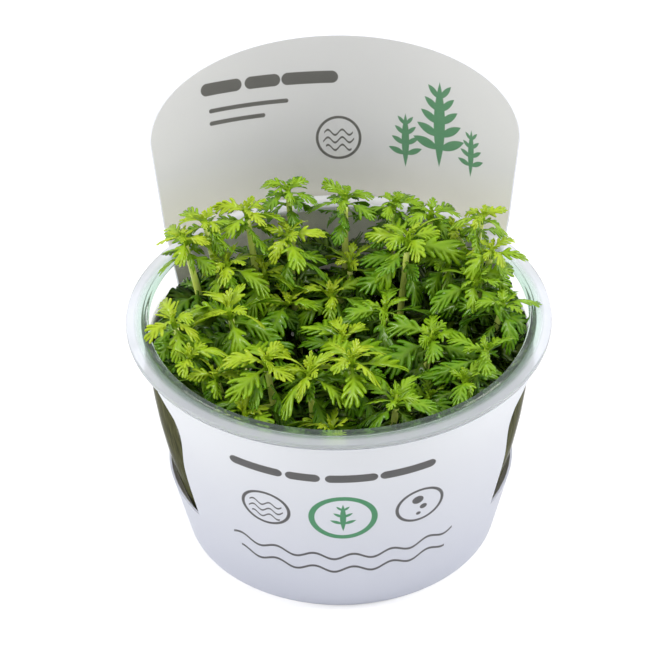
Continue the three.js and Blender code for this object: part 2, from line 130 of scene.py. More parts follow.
SHOOTS = [
    shoot(-37, 16, 70, 0.7, FRESH),
    shoot(-32, 20, 72, 0.65),
    shoot(-22, 24, 72, 0.75),
    shoot(-12, 32, 73, 0.65, OLD),
    shoot(2, 32, 70, 0.75, OLD),
    shoot(14, 32, 68, 0.75, OLD),
    shoot(23, 28, 68, 0.75, OLD),
    shoot(35, 19, 73, 0.6, side=(28, 24, 66)),
    shoot(37, 13, 67, 0.7),
    shoot(-27, 16, 62, 0.95),
    shoot(-18, 19, 57, 0.95, side=(-12, 12, 53)),
    shoot(-12, 22, 66, 0.95),
    shoot(3, 23, 57, 1, side=(-2, 12, 55)),
    shoot(17, 17, 68, 1.1, OLD / 2, leafy=LONG_STEM_LEAFY_LENGTH),
    shoot(27, 17, 61, 0.95, OLD),
    shoot(33, 7, 62, 1, OLD),
    shoot(39, 0, 60, 0.9, OLD),
    shoot(-26, -1, 60, 1.1, FRESH),
    shoot(11, 3, 57, 1, OLD),
    shoot(-39, -7, 62, 0.9, FRESH, side=(-35, -15, 57)),
    shoot(-29, -18, 54, 0.95, FRESH),
    shoot(-17, -21, 60, 1, FRESH, side=(-22, -29, 51)),
    shoot(-7, -25, 60, 1, FRESH, side=(-2, -34, 50)),
    shoot(3, -22, 61, 1.1, FRESH),
    shoot(1, -7, 56, 1.05),
    shoot(22, -7, 56, 1.1, OLD),
    shoot(13, -31, 56, 1.05, OLD, side=(21, -22, 50)),
    shoot(29, -24, 56, 0.95, OLD, side=(34, -17, 59)),
]

# The whorls of a rosette, from the lowest
UPPER_WHORLS = [
    {"below": 7.5, "reach": 0.95, "rise": (-12, 14), "droop": (25, 50)},
    {"below": 2.4, "reach": 1, "rise": (8, 30), "droop": (40, 75)},
    {"below": 1.2, "reach": 0.8, "rise": (24, 50), "droop": (50, 85)},
]
WHORL_STEP = 1.2
YOUNG_LEAVES = 7
BUD_STARTS = 0.86
BUD_RADIUS = 0.7
BUD_TIP_RADIUS = 0.25
BUD_HEIGHT = 1.6

# Shoots this far to a side are seen through the windows, and are leafy right down
WINDOW_SHOOTS_FROM = 24
LONGEST_LOW_LEAF = 21


def spread(index, salt):
    """Steady spread of values from 0 to 1, so that no two leaves are alike."""
    return (index * 0.6180339887 + salt * 0.7548776662) % 1


def mix(low, high, share):
    return low + (high - low) * share


def shares(steps):
    """Even steps from 0 to 1."""
    return [i / steps for i in range(steps + 1)]


def heading(azimuth):
    """A level direction."""
    return np.array([math.cos(azimuth), math.sin(azimuth), 0.0])


def smooth_step(low, high, value):
    share = min(max((value - low) / (high - low), 0), 1)
    return share * share * (3 - 2 * share)


# Meshes

def to_object(name, points, faces, materials):
    """A mesh object from points in millimetres."""
    mesh = bpy.data.meshes.new(name)
    mesh.from_pydata([tuple(c * MM for c in point) for point in points], [], faces)
    for material in materials:
        mesh.materials.append(material)
    mesh.polygons.foreach_set("use_smooth", [True] * len(mesh.polygons))
    mesh.update()
    thing = bpy.data.objects.new(name, mesh)
    bpy.context.scene.collection.objects.link(thing)
    return thing


def add_face(faces, corners):
    """Adds a face, without the corners that it holds twice."""
    face = list(dict.fromkeys(corners))
    if len(face) > 2:
        faces.append(face)


def join_rings(rings, faces):
    """Adds the faces between rings of corners."""
    for lower, upper in zip(rings, rings[1:]):
        for i in range(len(lower)):
            after = (i + 1) % len(lower)
            add_face(faces, [lower[i], lower[after], upper[after], upper[i]])


def add_colour(thing, name, values):
    """Stores one colour a vertex."""
    layer = thing.data.color_attributes.new(name, "FLOAT_COLOR", "POINT")
    flat = np.ones((len(values), 4), np.float32)
    flat[:, :3] = values
    layer.data.foreach_set("color", flat.ravel())


def place(thing, slot, *nodes):
    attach(thing, "root")
    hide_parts(*nodes)


# Materials

def srgb(*channels):
    """A screen's red, green and blue, turned to the linear values that shaders use."""
    screen = [channel / 255 for channel in channels]
    return (*(c / 12.92 if c <= 0.04045 else ((c + 0.055) / 1.055) ** 2.4 for c in screen), 1)


class Wiring:
    """Builds a material's nodes."""

    def __init__(self, name):
        self.material = bpy.data.materials.new(name)
        self.material.use_nodes = True
        self.tree = self.material.node_tree
        self.tree.nodes.clear()
        self.output = self.tree.nodes.new("ShaderNodeOutputMaterial")

    def feed(self, socket, value):
        """Gives a socket a number, a colour or another node's output."""
        if isinstance(value, bpy.types.NodeSocket):
            self.tree.links.new(value, socket)
        else:
            socket.default_value = value

    def node(self, kind, **inputs):
        """A node whose inputs are fed by name."""
        made = self.tree.nodes.new("ShaderNode" + kind)
        for key, value in inputs.items():
            self.feed(made.inputs[key.replace("_", " ")], value)
        return made

    def math(self, operation, *values):
        made = self.node("Math")
        made.operation = operation
        for socket, value in zip(made.inputs, values):
            self.feed(socket, value)
        return made.outputs[0]

    def scaled(self, value, factor, offset):
        return self.math("MULTIPLY_ADD", value, factor, offset)

    def less(self, value, taken):
        return self.math("SUBTRACT", value, taken)

    def size_of(self, value):
        return self.math("ABSOLUTE", value)

    def clamp(self, value):
        return self.node("Clamp", Value=value).outputs[0]

    def blend(self, share, first, second):
        made = self.node("Mix", Factor=share)
        made.data_type = "RGBA"
        self.feed(made.inputs[6], first)
        self.feed(made.inputs[7], second)
        return made.outputs[2]

    def noise(self, scale, detail=3, roughness=0.5, where=None):
        if where is None:
            where = self.node("TexCoord").outputs["Object"]
        made = self.node("TexNoise", Scale=scale, Detail=detail, Roughness=roughness, Vector=where)
        return made.outputs["Fac"]

    def ramp(self, share, stops):
        made = self.node("ValToRGB", Fac=share)
        elements = made.color_ramp.elements
        while len(elements) < len(stops):
            elements.new(0.5)
        for element, (position, colour) in zip(elements, stops):
            element.position = position
            element.color = srgb(*colour)
        return made.outputs["Color"]

    def ramp_up(self, value, start, width):
        """0 before the start and 1 from one width after it; a width below 0 makes it fall."""
        return self.clamp(self.scaled(value, 1 / width, -start / width))

    def where(self):
        """Where a point is on its object, as a vector and as its X, Y and Z."""
        vector = self.node("TexCoord").outputs["Object"]
        return vector, *self.node("SeparateXYZ", Vector=vector).outputs

    def streaks(self, where, scale, shortened):
        """Noise that is drawn out along Z."""
        stretched = self.node("Mapping", Scale=(1, 1, shortened), Vector=where)
        return self.noise(scale, 3, 0.6, stretched.outputs[0])

    def length(self, first, second):
        squares = self.math("ADD", self.math("POWER", first, 2), self.math("POWER", second, 2))
        return self.math("SQRT", squares)

    def bump(self, height, strength, distance):
        made = self.node("Bump", Height=height, Strength=strength, Distance=distance)
        return made.outputs["Normal"]

    def surface(self, **inputs):
        return self.node("BsdfPrincipled", **inputs).outputs[0]

    def let_through(self, surface, colour, share):
        """Lets some light through a thin leaf or film."""
        through = self.node("BsdfTranslucent", Color=colour).outputs[0]
        mixed = self.node("MixShader", Fac=share)
        self.feed(mixed.inputs[1], surface)
        self.feed(mixed.inputs[2], through)
        return mixed.outputs[0]

    def finish(self, shader):
        self.feed(self.output.inputs["Surface"], shader)
        return self.material


# The first two values: the height below which the clear wall takes its painted shade, and over how
# much it fades.
# In metres, as shaders measure
PAINTED_SHADE_TOP = 0.053
PAINTED_SHADE_FADE = 0.004
EDGE_ON_FROM = 0.5
EDGE_ON_WIDTH = 0.2


def clear_plastic():
    """Thin moulded plastic, clear, with painted shade low down where it is seen edge on: a streaky
    dark olive that stands in for the shaded plants behind the wall.
    """
    wiring = Wiring("clear_plastic_look")
    where, _, _, height = wiring.where()
    facing = wiring.node("LayerWeight").outputs["Facing"]
    # Painted shade: low down, where the wall is seen edge on, its colour turns a streaky dark olive in
    # place of the shaded plants seen through it.
    edge_on = wiring.ramp_up(facing, EDGE_ON_FROM, EDGE_ON_WIDTH)
    film = wiring.math("MULTIPLY", wiring.ramp_up(height, PAINTED_SHADE_TOP, -PAINTED_SHADE_FADE), edge_on)
    painted_shade_olive = wiring.ramp(wiring.streaks(where, 900, 0.1), [(0.3, (38, 39, 18)), (0.7, (84, 84, 54))])
    return wiring.finish(wiring.surface(
        Base_Color=wiring.blend(film, srgb(238, 241, 236), painted_shade_olive),
        Roughness=0.1,
        IOR=1.01,
        Transmission_Weight=wiring.scaled(film, -0.97, 0.97),
        Coat_Weight=0.06,
        Coat_Roughness=0.08,
        Normal=wiring.bump(wiring.noise(45, 1), 0.08, 0.0006),
    ))


# In metres too, out from the axis and towards the tab
HAZE_STARTS = 0.0466
HAZE_WIDTH = 0.0022
# How far towards the tab the painted highlight on the flange starts, and over how much it grows.
BACK_HIGHLIGHT_STARTS = 0.012
BACK_HIGHLIGHT_WIDTH = 0.03


def flange_plastic():
    """The same plastic in the flange, clear by the wall, and milky towards its lip; whiter towards its
    back, which is a painted highlight.
    """
    wiring = Wiring("flange_plastic_look")
    _, across, back, _ = wiring.where()
    haze = wiring.ramp_up(wiring.length(across, back), HAZE_STARTS, HAZE_WIDTH)
    haze = wiring.scaled(haze, 0.9, 0.1)
    # Painted highlight: the flange turns whiter and less clear towards the tab.
    white = wiring.ramp_up(back, BACK_HIGHLIGHT_STARTS, BACK_HIGHLIGHT_WIDTH)
    tint = wiring.blend(haze, srgb(184, 210, 196), srgb(225, 228, 235))
    return wiring.finish(wiring.surface(
        Base_Color=wiring.blend(white, tint, srgb(246, 247, 250)),
        Roughness=0.15,
        IOR=1.3,
        Transmission_Weight=wiring.scaled(white, -0.5, wiring.scaled(haze, -0.32, 0.95)),
        Normal=wiring.bump(wiring.noise(80, 2), 0.08, 0.0006),
    ))


def gel_look():
    """Pale cloudy gel."""
    wiring = Wiring("gel_look")
    cloud = wiring.noise(90)
    return wiring.finish(wiring.surface(
        Base_Color=wiring.ramp(cloud, [(0.35, (150, 150, 110)), (0.7, (190, 190, 150))]),
        Roughness=0.25,
        IOR=1.35,
        Transmission_Weight=0.35,
        Normal=wiring.bump(cloud, 0.2, 0.0005),
    ))


def leaf_look():
    """Fresh green leaf, yellow where it is young, dark where it is old and shaded."""
    wiring = Wiring("leaf_look")
    facts = wiring.node("Attribute")
    facts.attribute_name = "leaf"
    age, rib, _ = wiring.node("SeparateColor", Color=facts.outputs["Color"]).outputs
    mottle = wiring.noise(350, 4, 0.6)
    shade = wiring.math("ADD", age, wiring.scaled(mottle, 0.3, -0.15))
    green = wiring.ramp(shade, [
        (0.0, (204, 222, 44)),
        (0.2, (154, 196, 22)),
        (0.45, (96, 156, 8)),
        (0.72, (48, 104, 3)),
        (1.0, (24, 58, 2)),
    ])
    pale = wiring.blend(wiring.math("MULTIPLY", rib, 0.3), green, srgb(176, 204, 62))
    relief = wiring.scaled(rib, -0.6, wiring.noise(1600, 3, 0.6))
    surface = wiring.surface(
        Base_Color=pale,
        Roughness=0.27,
        Specular_IOR_Level=0.3,
        Coat_Weight=0.35,
        Coat_Roughness=0.1,
        Normal=wiring.bump(relief, 0.35, 0.0003),
    )
    youth = wiring.clamp(wiring.scaled(shade, -0.7, 0.6))
    glow = wiring.blend(youth, pale, srgb(150, 196, 6))
    return wiring.finish(wiring.let_through(surface, glow, 0.3))


# In metres
STEM_PALES_OVER = 0.045


def stem_look():
    """Juicy pale stem, greener and darker towards its foot, partly its own colour and partly painted
    shade deep in the cup, with fine lengthwise streaks.
    """
    wiring = Wiring("stem_look")
    where, _, _, height = wiring.where()
    streak = wiring.streaks(where, 1500, 0.12)
    # Lower down the stem is darker: partly its own colour, partly painted shade.
    share = wiring.scaled(streak, 0.25, wiring.scaled(height, 1 / STEM_PALES_OVER, -0.3))
    colour = wiring.ramp(share, [
        (0.0, (110, 120, 56)),
        (0.35, (180, 202, 84)),
        (0.65, (222, 236, 120)),
        (1.0, (222, 236, 118)),
    ])
    return wiring.finish(wiring.surface(
        Base_Color=colour,
        Roughness=0.32,
        Subsurface_Weight=0.25,
        Subsurface_Radius=(0.0012, 0.0014, 0.0004),
        Subsurface_Scale=1.0,
        Coat_Weight=0.2,
        Normal=wiring.bump(streak, 0.3, 0.0003),
    ))


class Ink(Wiring):
    """Draws flat motifs on the sleeve; each shape is 1 on its ink and 0 off it."""

    def __init__(self, name):
        super().__init__(name)
        sheet = self.node("UVMap")
        sheet.uv_map = "sheet"
        across, up, _ = self.node("SeparateXYZ", Vector=sheet.outputs[0]).outputs
        self.across = self.math("MULTIPLY", across, 100)
        self.up = self.math("MULTIPLY", up, 100)

    def edge(self, size, distance):
        """Ink where a distance is less than a size, both in millimetres, with a crisp edge."""
        return self.clamp(self.scaled(self.less(size, distance), 8, 0.5))

    def offset(self, x, y):
        return self.less(self.across, x), self.less(self.up, y)

    def bar(self, x, y, half_length, half_height):
        """A bar with round ends."""
        right, rise = self.offset(x, y)
        beyond = self.less(self.size_of(right), half_length)
        return self.edge(half_height, self.length(self.math("MAXIMUM", beyond, 0), rise))

    def ring(self, x, y, radius, half_line):
        away = self.less(self.length(*self.offset(x, y)), radius)
        return self.edge(half_line, self.size_of(away))

    def disc(self, x, y, radius):
        return self.edge(radius, self.length(*self.offset(x, y)))

    def blade(self, x, y, turn, half_length, half_width):
        """A pointed leaf whose middle is at x, y."""
        right, rise = self.offset(x, y)
        cosine, sine = math.cos(turn), math.sin(turn)
        along = self.scaled(rise, sine, self.math("MULTIPLY", right, cosine))
        side = self.scaled(right, -sine, self.math("MULTIPLY", rise, cosine))
        share = self.math("POWER", self.math("DIVIDE", along, half_length), 2)
        return self.edge(self.scaled(share, -half_width, half_width), self.size_of(side))

    def wave(self, x, y, half_length, swing, period, half_line):
        right, rise = self.offset(x, y)
        turn = self.math("MULTIPLY", right, 2 * math.pi / period)
        curve = self.math("MULTIPLY", self.math("SINE", turn), swing)
        line = self.edge(half_line, self.size_of(self.less(rise, curve)))
        return self.math("MULTIPLY", line, self.edge(half_length, self.size_of(right)))

    def wave_badge(self, x, y, radius, half_line, rows, period, half_wave):
        """A ring round waves; rows holds each wave's height above the middle and half length."""
        waves = [self.wave(x, y + up, half, 0.7, period, half_wave) for up, half in rows]
        return [self.ring(x, y, radius, half_line), *waves]

    def join(self, shapes):
        total = shapes[0]
        for shape in shapes[1:]:
            total = self.math("MAXIMUM", total, shape)
        return total

    def film(self, base, low, fade_top, fade, prints, roughness, through, through_colour):
        """Printed plastic film: its colour fades over fade mm, down from fade_top mm above the rim;
        this fade is painted shade on the front and painted light on the inner side.
        """
        colour = self.blend(self.ramp_up(self.up, fade_top, -fade), base, low)
        cloud = self.math("MULTIPLY", self.noise(25), 0.08)
        colour = self.blend(cloud, colour, srgb(150, 150, 150))
        for shapes, ink in prints:
            colour = self.blend(self.join(shapes), colour, ink)
        surface = self.surface(
            Base_Color=colour,
            Roughness=roughness,
            Specular_IOR_Level=0.4,
            Normal=self.bump(self.noise(900, 2), 0.03, 0.0002),
        )
        return self.finish(self.let_through(surface, through_colour, through))


DARK_INK = srgb(66, 66, 70)
GREEN_INK = srgb(38, 132, 84)


def sprig(ink, x, y, height, leaves):
    """A little upright sprig: a stalk with pairs of pointed leaves."""
    shapes = [ink.blade(x, y + height / 2, math.radians(90), height / 2, 0.07 * height)]
    for i in range(leaves):
        share = (i + 0.6) / leaves
        reach = height * mix(0.36, 0.2, share)
        rise = math.radians(mix(18, 52, share))
        level = y + height * mix(0.12, 0.86, share)
        for side in (1, -1):
            shapes.append(ink.blade(
                x + side * reach * 0.5 * math.cos(rise),
                level + reach * 0.5 * math.sin(rise),
                rise if side > 0 else math.pi - rise,
                reach / 2,
                reach * 0.16,
            ))
    return shapes


def tab_film():
    """The sleeve's inner side, greyish, whose tab carries a plain water-plant design; below the rim it
    is much paler, as painted light.
    """
    ink = Ink("tab_film_look")
    dark = [ink.bar(x, 31, half, 1.6) for x, half in ((-29, 4), (-18, 3), (-6, 5.5))]
    dark += [ink.bar(x, y, half, 0.55) for x, y, half in ((-22, 25.4, 10), (-25, 22.2, 7))]
    dark += ink.wave_badge(1, 15, 5.4, 0.35, ((1.4, 3.6), (-0.6, 3.9), (-2.6, 3.2)), 3.6, 0.28)
    green = sprig(ink, 27, 9, 22, 5) + sprig(ink, 18, 8, 14, 4) + sprig(ink, 36, 8, 12, 4)
    return ink.film(
        base=srgb(226, 226, 230),
        # Painted light: below the rim the inner side is made paler, in place of the light that the
        # clear cup wall keeps off it.
        low=srgb(250, 246, 232),
        fade_top=12,
        fade=18,
        prints=[(dark, DARK_INK), (green, GREEN_INK)],
        roughness=0.4,
        through=0.3,
        through_colour=srgb(225, 222, 205),
    )


def front_film():
    """The sleeve's outer side, a cold white with the plain design of its front, darker towards the
    bottom as painted shade.
    """
    ink = Ink("front_film_look")
    dark = [ink.bar(x, -11, half, 1.35) for x, half in ((-20, 5), (-9, 2.6), (2, 4.6), (15, 5.2))]
    dark += ink.wave_badge(-18, -25.5, 5.6, 0.4, ((1.5, 3.9), (-0.7, 4.2), (-2.9, 3.4)), 3.9, 0.3)
    dark += [ink.ring(18, -25.5, 5.6, 0.4)]
    bubbles = ((17.6, -28.6, 0.6), (18.8, -26.4, 0.9), (17.4, -23.4, 1.4))
    dark += [ink.disc(*bubble) for bubble in bubbles]
    dark += [ink.wave(0, y, half, 1.0, 9, 0.42) for y, half in ((-40.5, 27), (-45.5, 25))]
    green = [ink.ring(0, -25.5, 7.2, 0.7)] + sprig(ink, 0, -30.5, 10, 3)
    return ink.film(
        base=srgb(226, 229, 236),
        # Painted shade: the front turns darker towards its bottom.
        low=srgb(199, 203, 218),
        fade_top=-3,
        fade=55,
        prints=[(dark, DARK_INK), (green, GREEN_INK)],
        roughness=0.35,
        through=0.2,
        through_colour=srgb(235, 235, 240),
    )


def floor_look():
    """A white light table."""
    wiring = Wiring("floor_look")
    grain = wiring.noise(400, 2)
    return wiring.finish(wiring.surface(
        Base_Color=wiring.ramp(grain, [(0.3, (246, 246, 246)), (0.7, (250, 250, 250))]),
        Roughness=0.8,
        Emission_Color=srgb(255, 255, 255),
        Emission_Strength=0.06,
    ))


# Cup and gel

def wall_radius(height):
    below = (CUP_HEIGHT - FLANGE_THICKNESS - height) / (CUP_HEIGHT - FLANGE_THICKNESS)
    return WALL_RADIUS_AT_FLANGE - WALL_DRAW * max(below, 0) ** WALL_DRAW_POWER


def inner_wall_radius(height):
    return wall_radius(height) - WALL_THICKNESS


CORNER_STEPS = 4
LONGEST_CUT = 0.45


def rounded(profile, radii):
    """Rounds a profile's corners; radii maps a corner's place in the list to its radius."""
    points = []
    for i, corner in enumerate(profile):
        if i not in radii:
            points.append(corner)
            continue
        here = Vector(corner)
        before = Vector(profile[i - 1]) - here
        after = Vector(profile[i + 1]) - here
        reach = min(radii[i], before.length * LONGEST_CUT, after.length * LONGEST_CUT)
        start = here + before.normalized() * reach
        end = here + after.normalized() * reach
        for t in shares(CORNER_STEPS):
            bend = start * (1 - t) ** 2 + here * 2 * t * (1 - t) + end * t ** 2
            points.append((bend.x, bend.y))
    return points


def turned(name, profile, segments, material):
    """Turns a profile of radius and height about +Z; its first and last points are on the axis."""
    points = []
    faces = []
    rings = []
    for radius, height in profile:
        count = segments if radius else 1
        ring = [len(points) + i for i in range(count)]
        rings.append(ring * (segments // count))
        for i in range(count):
            turn = 2 * math.pi * i / segments
            points.append((radius * math.cos(turn), radius * math.sin(turn), height))
    join_rings(rings, faces)
    return to_object(name, points, faces, [material])


def make_cup():
    """The clear cup, with its flange in a milkier look."""
    under = CUP_HEIGHT - FLANGE_THICKNESS
    bead_inner = WALL_RADIUS_AT_FLANGE - WALL_THICKNESS
    bead_top = CUP_HEIGHT + BEAD_HEIGHT
    heights = [5, 9, 14, 20, 27, 34, 41, 47, 52, 55]
    outer_wall = [(wall_radius(z), z) for z in heights]
    inner_wall = [(inner_wall_radius(z), z) for z in reversed(heights)]
    profile = [
        (0, FOOT_RECESS),
        (BASE_RADIUS - FOOT_RING, FOOT_RECESS),
        (BASE_RADIUS - 0.8 * FOOT_RING, 0),
        (BASE_RADIUS, 0),
        (wall_radius(BASE_ROUND_HEIGHT), BASE_ROUND_HEIGHT),
        *outer_wall,
        (wall_radius(under), under),
        (FLANGE_RADIUS, under),
        (FLANGE_RADIUS, CUP_HEIGHT),
        (FLANGE_SEAT_RADIUS, CUP_HEIGHT),
        (FLANGE_SEAT_RADIUS - BEAD_HEIGHT, bead_top),
        (bead_inner + BEAD_HEIGHT, bead_top),
        (bead_inner, CUP_HEIGHT),
        *inner_wall,
        (inner_wall_radius(BASE_ROUND_HEIGHT) - FLOOR_THICKNESS, BASE_ROUND_HEIGHT + FLOOR_THICKNESS),
        (BASE_RADIUS - FLOOR_THICKNESS, FLOOR_THICKNESS),
        (0, FLOOR_THICKNESS),
    ]
    # The corner radii of the foot, and of the flange and its bead
    flange_corners = enumerate((0.7, 0.35, 0.35, 0.3, 0.2, 0.2, 0.5), 5 + len(heights))
    corners = {3: 0.6, 4: 1.5, **dict(flange_corners)}
    cup = turned("cup_look", rounded(profile, corners), CUP_SEGMENTS, clear_plastic())
    cup.data.materials.append(flange_plastic())
    for polygon in cup.data.polygons:
        if polygon.center.z > (under - GAP) * MM:
            polygon.material_index = 1
    place(cup, "clear_plastic", "cup")


def make_gel():
    """The gel, which creeps up a little where it meets the wall."""
    floor = FLOOR_THICKNESS + GAP
    inset = inner_wall_radius(GEL_TOP) - GAP
    profile = [
        (0, floor),
        (BASE_RADIUS - FLOOR_THICKNESS - GAP, floor),
        (inner_wall_radius(BASE_ROUND_HEIGHT) - GAP - FLOOR_THICKNESS, BASE_ROUND_HEIGHT + floor),
        (inner_wall_radius(8) - GAP, 8),
        (inset, GEL_TOP + GEL_CREEP),
        (inset - 0.8, GEL_TOP),
        (inset * 0.6, GEL_TOP - GEL_DIP),
        (0, GEL_TOP - GEL_DIP),
    ]
    gel = turned("gel_look", rounded(profile, {1: 0.8, 2: 0.8}), 96, gel_look())
    place(gel, "gel", "growing_gel")


# Sleeve

def sleeve_radius(height):
    return SLEEVE_BASE_RADIUS + SLEEVE_FLARE * height


RIM_SLANT = sleeve_radius(CUP_HEIGHT) / math.sin(CONE_ANGLE)


def bend_tab(across, above):
    """Bends a point of the flat sheet to an angle from its middle line and a height."""
    slant = math.hypot(across, RIM_SLANT + above)
    angle = math.atan2(across, RIM_SLANT + above) / math.sin(CONE_ANGLE)
    height = CUP_HEIGHT + (slant - RIM_SLANT) * math.cos(CONE_ANGLE)
    return angle, height


def lay_flat(angle, height):
    """The reverse of bend_tab, for the print."""
    slant = RIM_SLANT + (height - CUP_HEIGHT) / math.cos(CONE_ANGLE)
    opened = angle * math.sin(CONE_ANGLE)
    return slant * math.sin(opened), slant * math.cos(opened) - RIM_SLANT


def smooth_through(stations, value):
    """A smooth curve through pairs of place and value, in order of place."""
    last = len(stations) - 1
    i = max(j for j in range(last) if stations[j][0] <= value or j == 0)

    def slope(j):
        (left, low), (right, high) = stations[max(j - 1, 0)], stations[min(j + 1, last)]
        return (high - low) / (right - left)

    (before, start), (after, end) = stations[i], stations[i + 1]
    span = after - before
    t = (value - before) / span
    return (
        start * (2 * t ** 3 - 3 * t ** 2 + 1)
        + end * (3 * t ** 2 - 2 * t ** 3)
        + span * slope(i) * (t ** 3 - 2 * t ** 2 + t)
        + span * slope(i + 1) * (t ** 3 - t ** 2)
    )


FRONT_EDGE = [
    (STRIP_HEIGHT, FRONT_HALF_ANGLE_LOW),
    (WINDOW_MIDDLE_HEIGHT, FRONT_HALF_ANGLE_MIDDLE),
    (WINDOW_WAIST_HEIGHT, FRONT_HALF_ANGLE_WAIST),
    (SLEEVE_FRONT_TOP, FRONT_HALF_ANGLE_TOP),
]


class Sheet:
    """Collects the sleeve's points and faces, and shares corners where cells meet."""

    def __init__(self):
        self.points = []
        self.faces = []
        self.found = {}

    def corner(self, angle, height):
        turn = math.degrees(angle) % 360
        key = (round(turn, 3), round(height, 3))
        if key not in self.found:
            self.found[key] = len(self.points)
            self.points.append((math.radians(turn), height))
        return self.found[key]

    def tile(self, rows):
        for lower, upper in zip(rows, rows[1:]):
            low = [self.corner(*point) for point in lower]
            high = [self.corner(*point) for point in upper]
            for i in range(len(low) - 1):
                add_face(self.faces, [low[i], low[i + 1], high[i + 1], high[i]])


COLUMNS = 56
SIDE_COLUMNS = 16
STRIP_ROWS = 4
FRONT_ROWS = 16
WAIST_ROWS = 10
TAB_ROWS = 8
ARC_ROWS = 10


def straight_row(start, end, level, columns=COLUMNS):
    return [(mix(start, end, share), level) for share in shares(columns)]


def blend_rows(lower, upper, steps):
    """Rows of points, from one row to another."""
    return [
        [tuple(mix(a, b, share) for a, b in zip(*points)) for points in zip(lower, upper)]
        for share in shares(steps)
    ]


def front_row(half, height):
    return straight_row(FRONT_SHIFT - half, FRONT_SHIFT + half, height)


def strip_row(height):
    """A row all round the cup, below the windows."""
    ends = [FRONT_SHIFT - FRONT_HALF_ANGLE_LOW, FRONT_SHIFT + FRONT_HALF_ANGLE_LOW]
    ends += [math.pi - TAB_HALF_ANGLE, math.pi + TAB_HALF_ANGLE, 2 * math.pi + ends[0]]
    row = [(ends[0], height)]
    for start, end, columns in zip(ends, ends[1:], (COLUMNS, SIDE_COLUMNS) * 2):
        row += straight_row(start, end, height, columns)[1:]
    return row


def tab_arc():
    """The tab's round top, laid flat."""
    row = []
    for share in shares(COLUMNS):
        turn = (2 * share - 1) * math.pi / 2
        above = mix(TAB_SHOULDER_HEIGHT, TAB_HEIGHT, math.cos(turn))
        row.append((TAB_HALF_WIDTH * math.sin(turn), above))
    return row


def bent(rows):
    """Rows of flat points, bent to the cone at the cup's back."""
    turned_rows = []
    for row in rows:
        cone = [bend_tab(*point) for point in row]
        turned_rows.append([(math.pi + angle, height) for angle, height in cone])
    return turned_rows


def sleeve_sheet():
    sheet = Sheet()
    sheet.tile([strip_row(STRIP_HEIGHT * share) for share in shares(STRIP_ROWS)])
    heights = [mix(STRIP_HEIGHT, SLEEVE_FRONT_TOP, share) for share in shares(FRONT_ROWS)]
    sheet.tile([front_row(smooth_through(FRONT_EDGE, z), z) for z in heights])
    waist = straight_row(math.pi - TAB_HALF_ANGLE, math.pi + TAB_HALF_ANGLE, STRIP_HEIGHT)
    rim = straight_row(-TAB_HALF_WIDTH_AT_RIM, TAB_HALF_WIDTH_AT_RIM, 0)
    shoulder = straight_row(-TAB_HALF_WIDTH, TAB_HALF_WIDTH, TAB_SHOULDER_HEIGHT)
    sheet.tile(blend_rows(waist, bent([rim])[0], WAIST_ROWS))
    sheet.tile(bent(blend_rows(rim, shoulder, TAB_ROWS)))
    sheet.tile(bent(blend_rows(shoulder, tab_arc(), ARC_ROWS)))
    return sheet


def nearest_turn(angle):
    """The same angle, from minus half a turn to half a turn."""
    return (angle + math.pi) % (2 * math.pi) - math.pi


def tuck_at(from_front, height):
    """How far the front panel's top edge is tucked in under the flange."""
    if abs(from_front) > FRONT_HALF_ANGLE_TOP + 2 * FRONT_SHIFT:
        return 0
    share = (height - WINDOW_WAIST_HEIGHT) / (SLEEVE_FRONT_TOP - WINDOW_WAIST_HEIGHT)
    return FRONT_TUCK * max(share, 0)


def make_sleeve():
    """The printed film, as two sides of one sheet and its cut edge."""
    sheet = sleeve_sheet()
    count = len(sheet.points)
    points = []
    spots = []
    for out in (0, SLEEVE_THICKNESS):
        for angle, height in sheet.points:
            from_front = nearest_turn(angle)
            radius = sleeve_radius(height) - tuck_at(from_front, height) + out * math.cos(CONE_ANGLE)
            turn = angle + SLEEVE_TURN
            drop = out * math.sin(CONE_ANGLE)
            points.append((radius * math.sin(turn), -radius * math.cos(turn), max(height - drop, 0)))
            spots.append((from_front if out else math.pi - angle, height))
    faces = []
    edges = {}
    for face in sheet.faces:
        faces.append([c + count for c in face])
        faces.append(face[::-1])
        for a, b in zip(face, face[1:] + face[:1]):
            edges[(a, b)] = True
    for a, b in edges:
        if (b, a) not in edges:
            faces.append([a, b, b + count, a + count])
    sleeve = to_object("sleeve_look", points, faces, [front_film(), tab_film()])
    inner = [int(all(c < count for c in face)) for face in faces]
    sleeve.data.polygons.foreach_set("material_index", inner)
    lay_print(sleeve, spots, count)
    mark_sharp_edges(sleeve, count)
    place(sleeve, "printed_film", "label_sleeve")


def lay_print(sleeve, spots, count):
    """Gives the film its flat coordinates; its cut edge takes those of the outer side."""
    layer = sleeve.data.uv_layers.new(name="sheet")
    for polygon in sleeve.data.polygons:
        start = None
        for loop, vertex in zip(polygon.loop_indices, polygon.vertices):
            angle, height = spots[vertex if polygon.material_index else vertex % count + count]
            start = angle if start is None else start
            across, above = lay_flat(start + nearest_turn(angle - start), height)
            layer.data[loop].uv = (across / 100, above / 100)


def mark_sharp_edges(thing, count):
    """Keeps the cut edge of the film crisp."""
    rims = {}
    for polygon in thing.data.polygons:
        crossing = len({vertex >= count for vertex in polygon.vertices}) == 2
        if crossing:
            polygon.use_smooth = False
        for key in polygon.edge_keys:
            rims.setdefault(key, []).append(crossing)
    for edge in thing.data.edges:
        kinds = rims.get(edge.key, [])
        edge.use_edge_sharp = len(kinds) == 2 and kinds[0] != kinds[1]


# Where the shoots grow: the same layout as the CAD model's

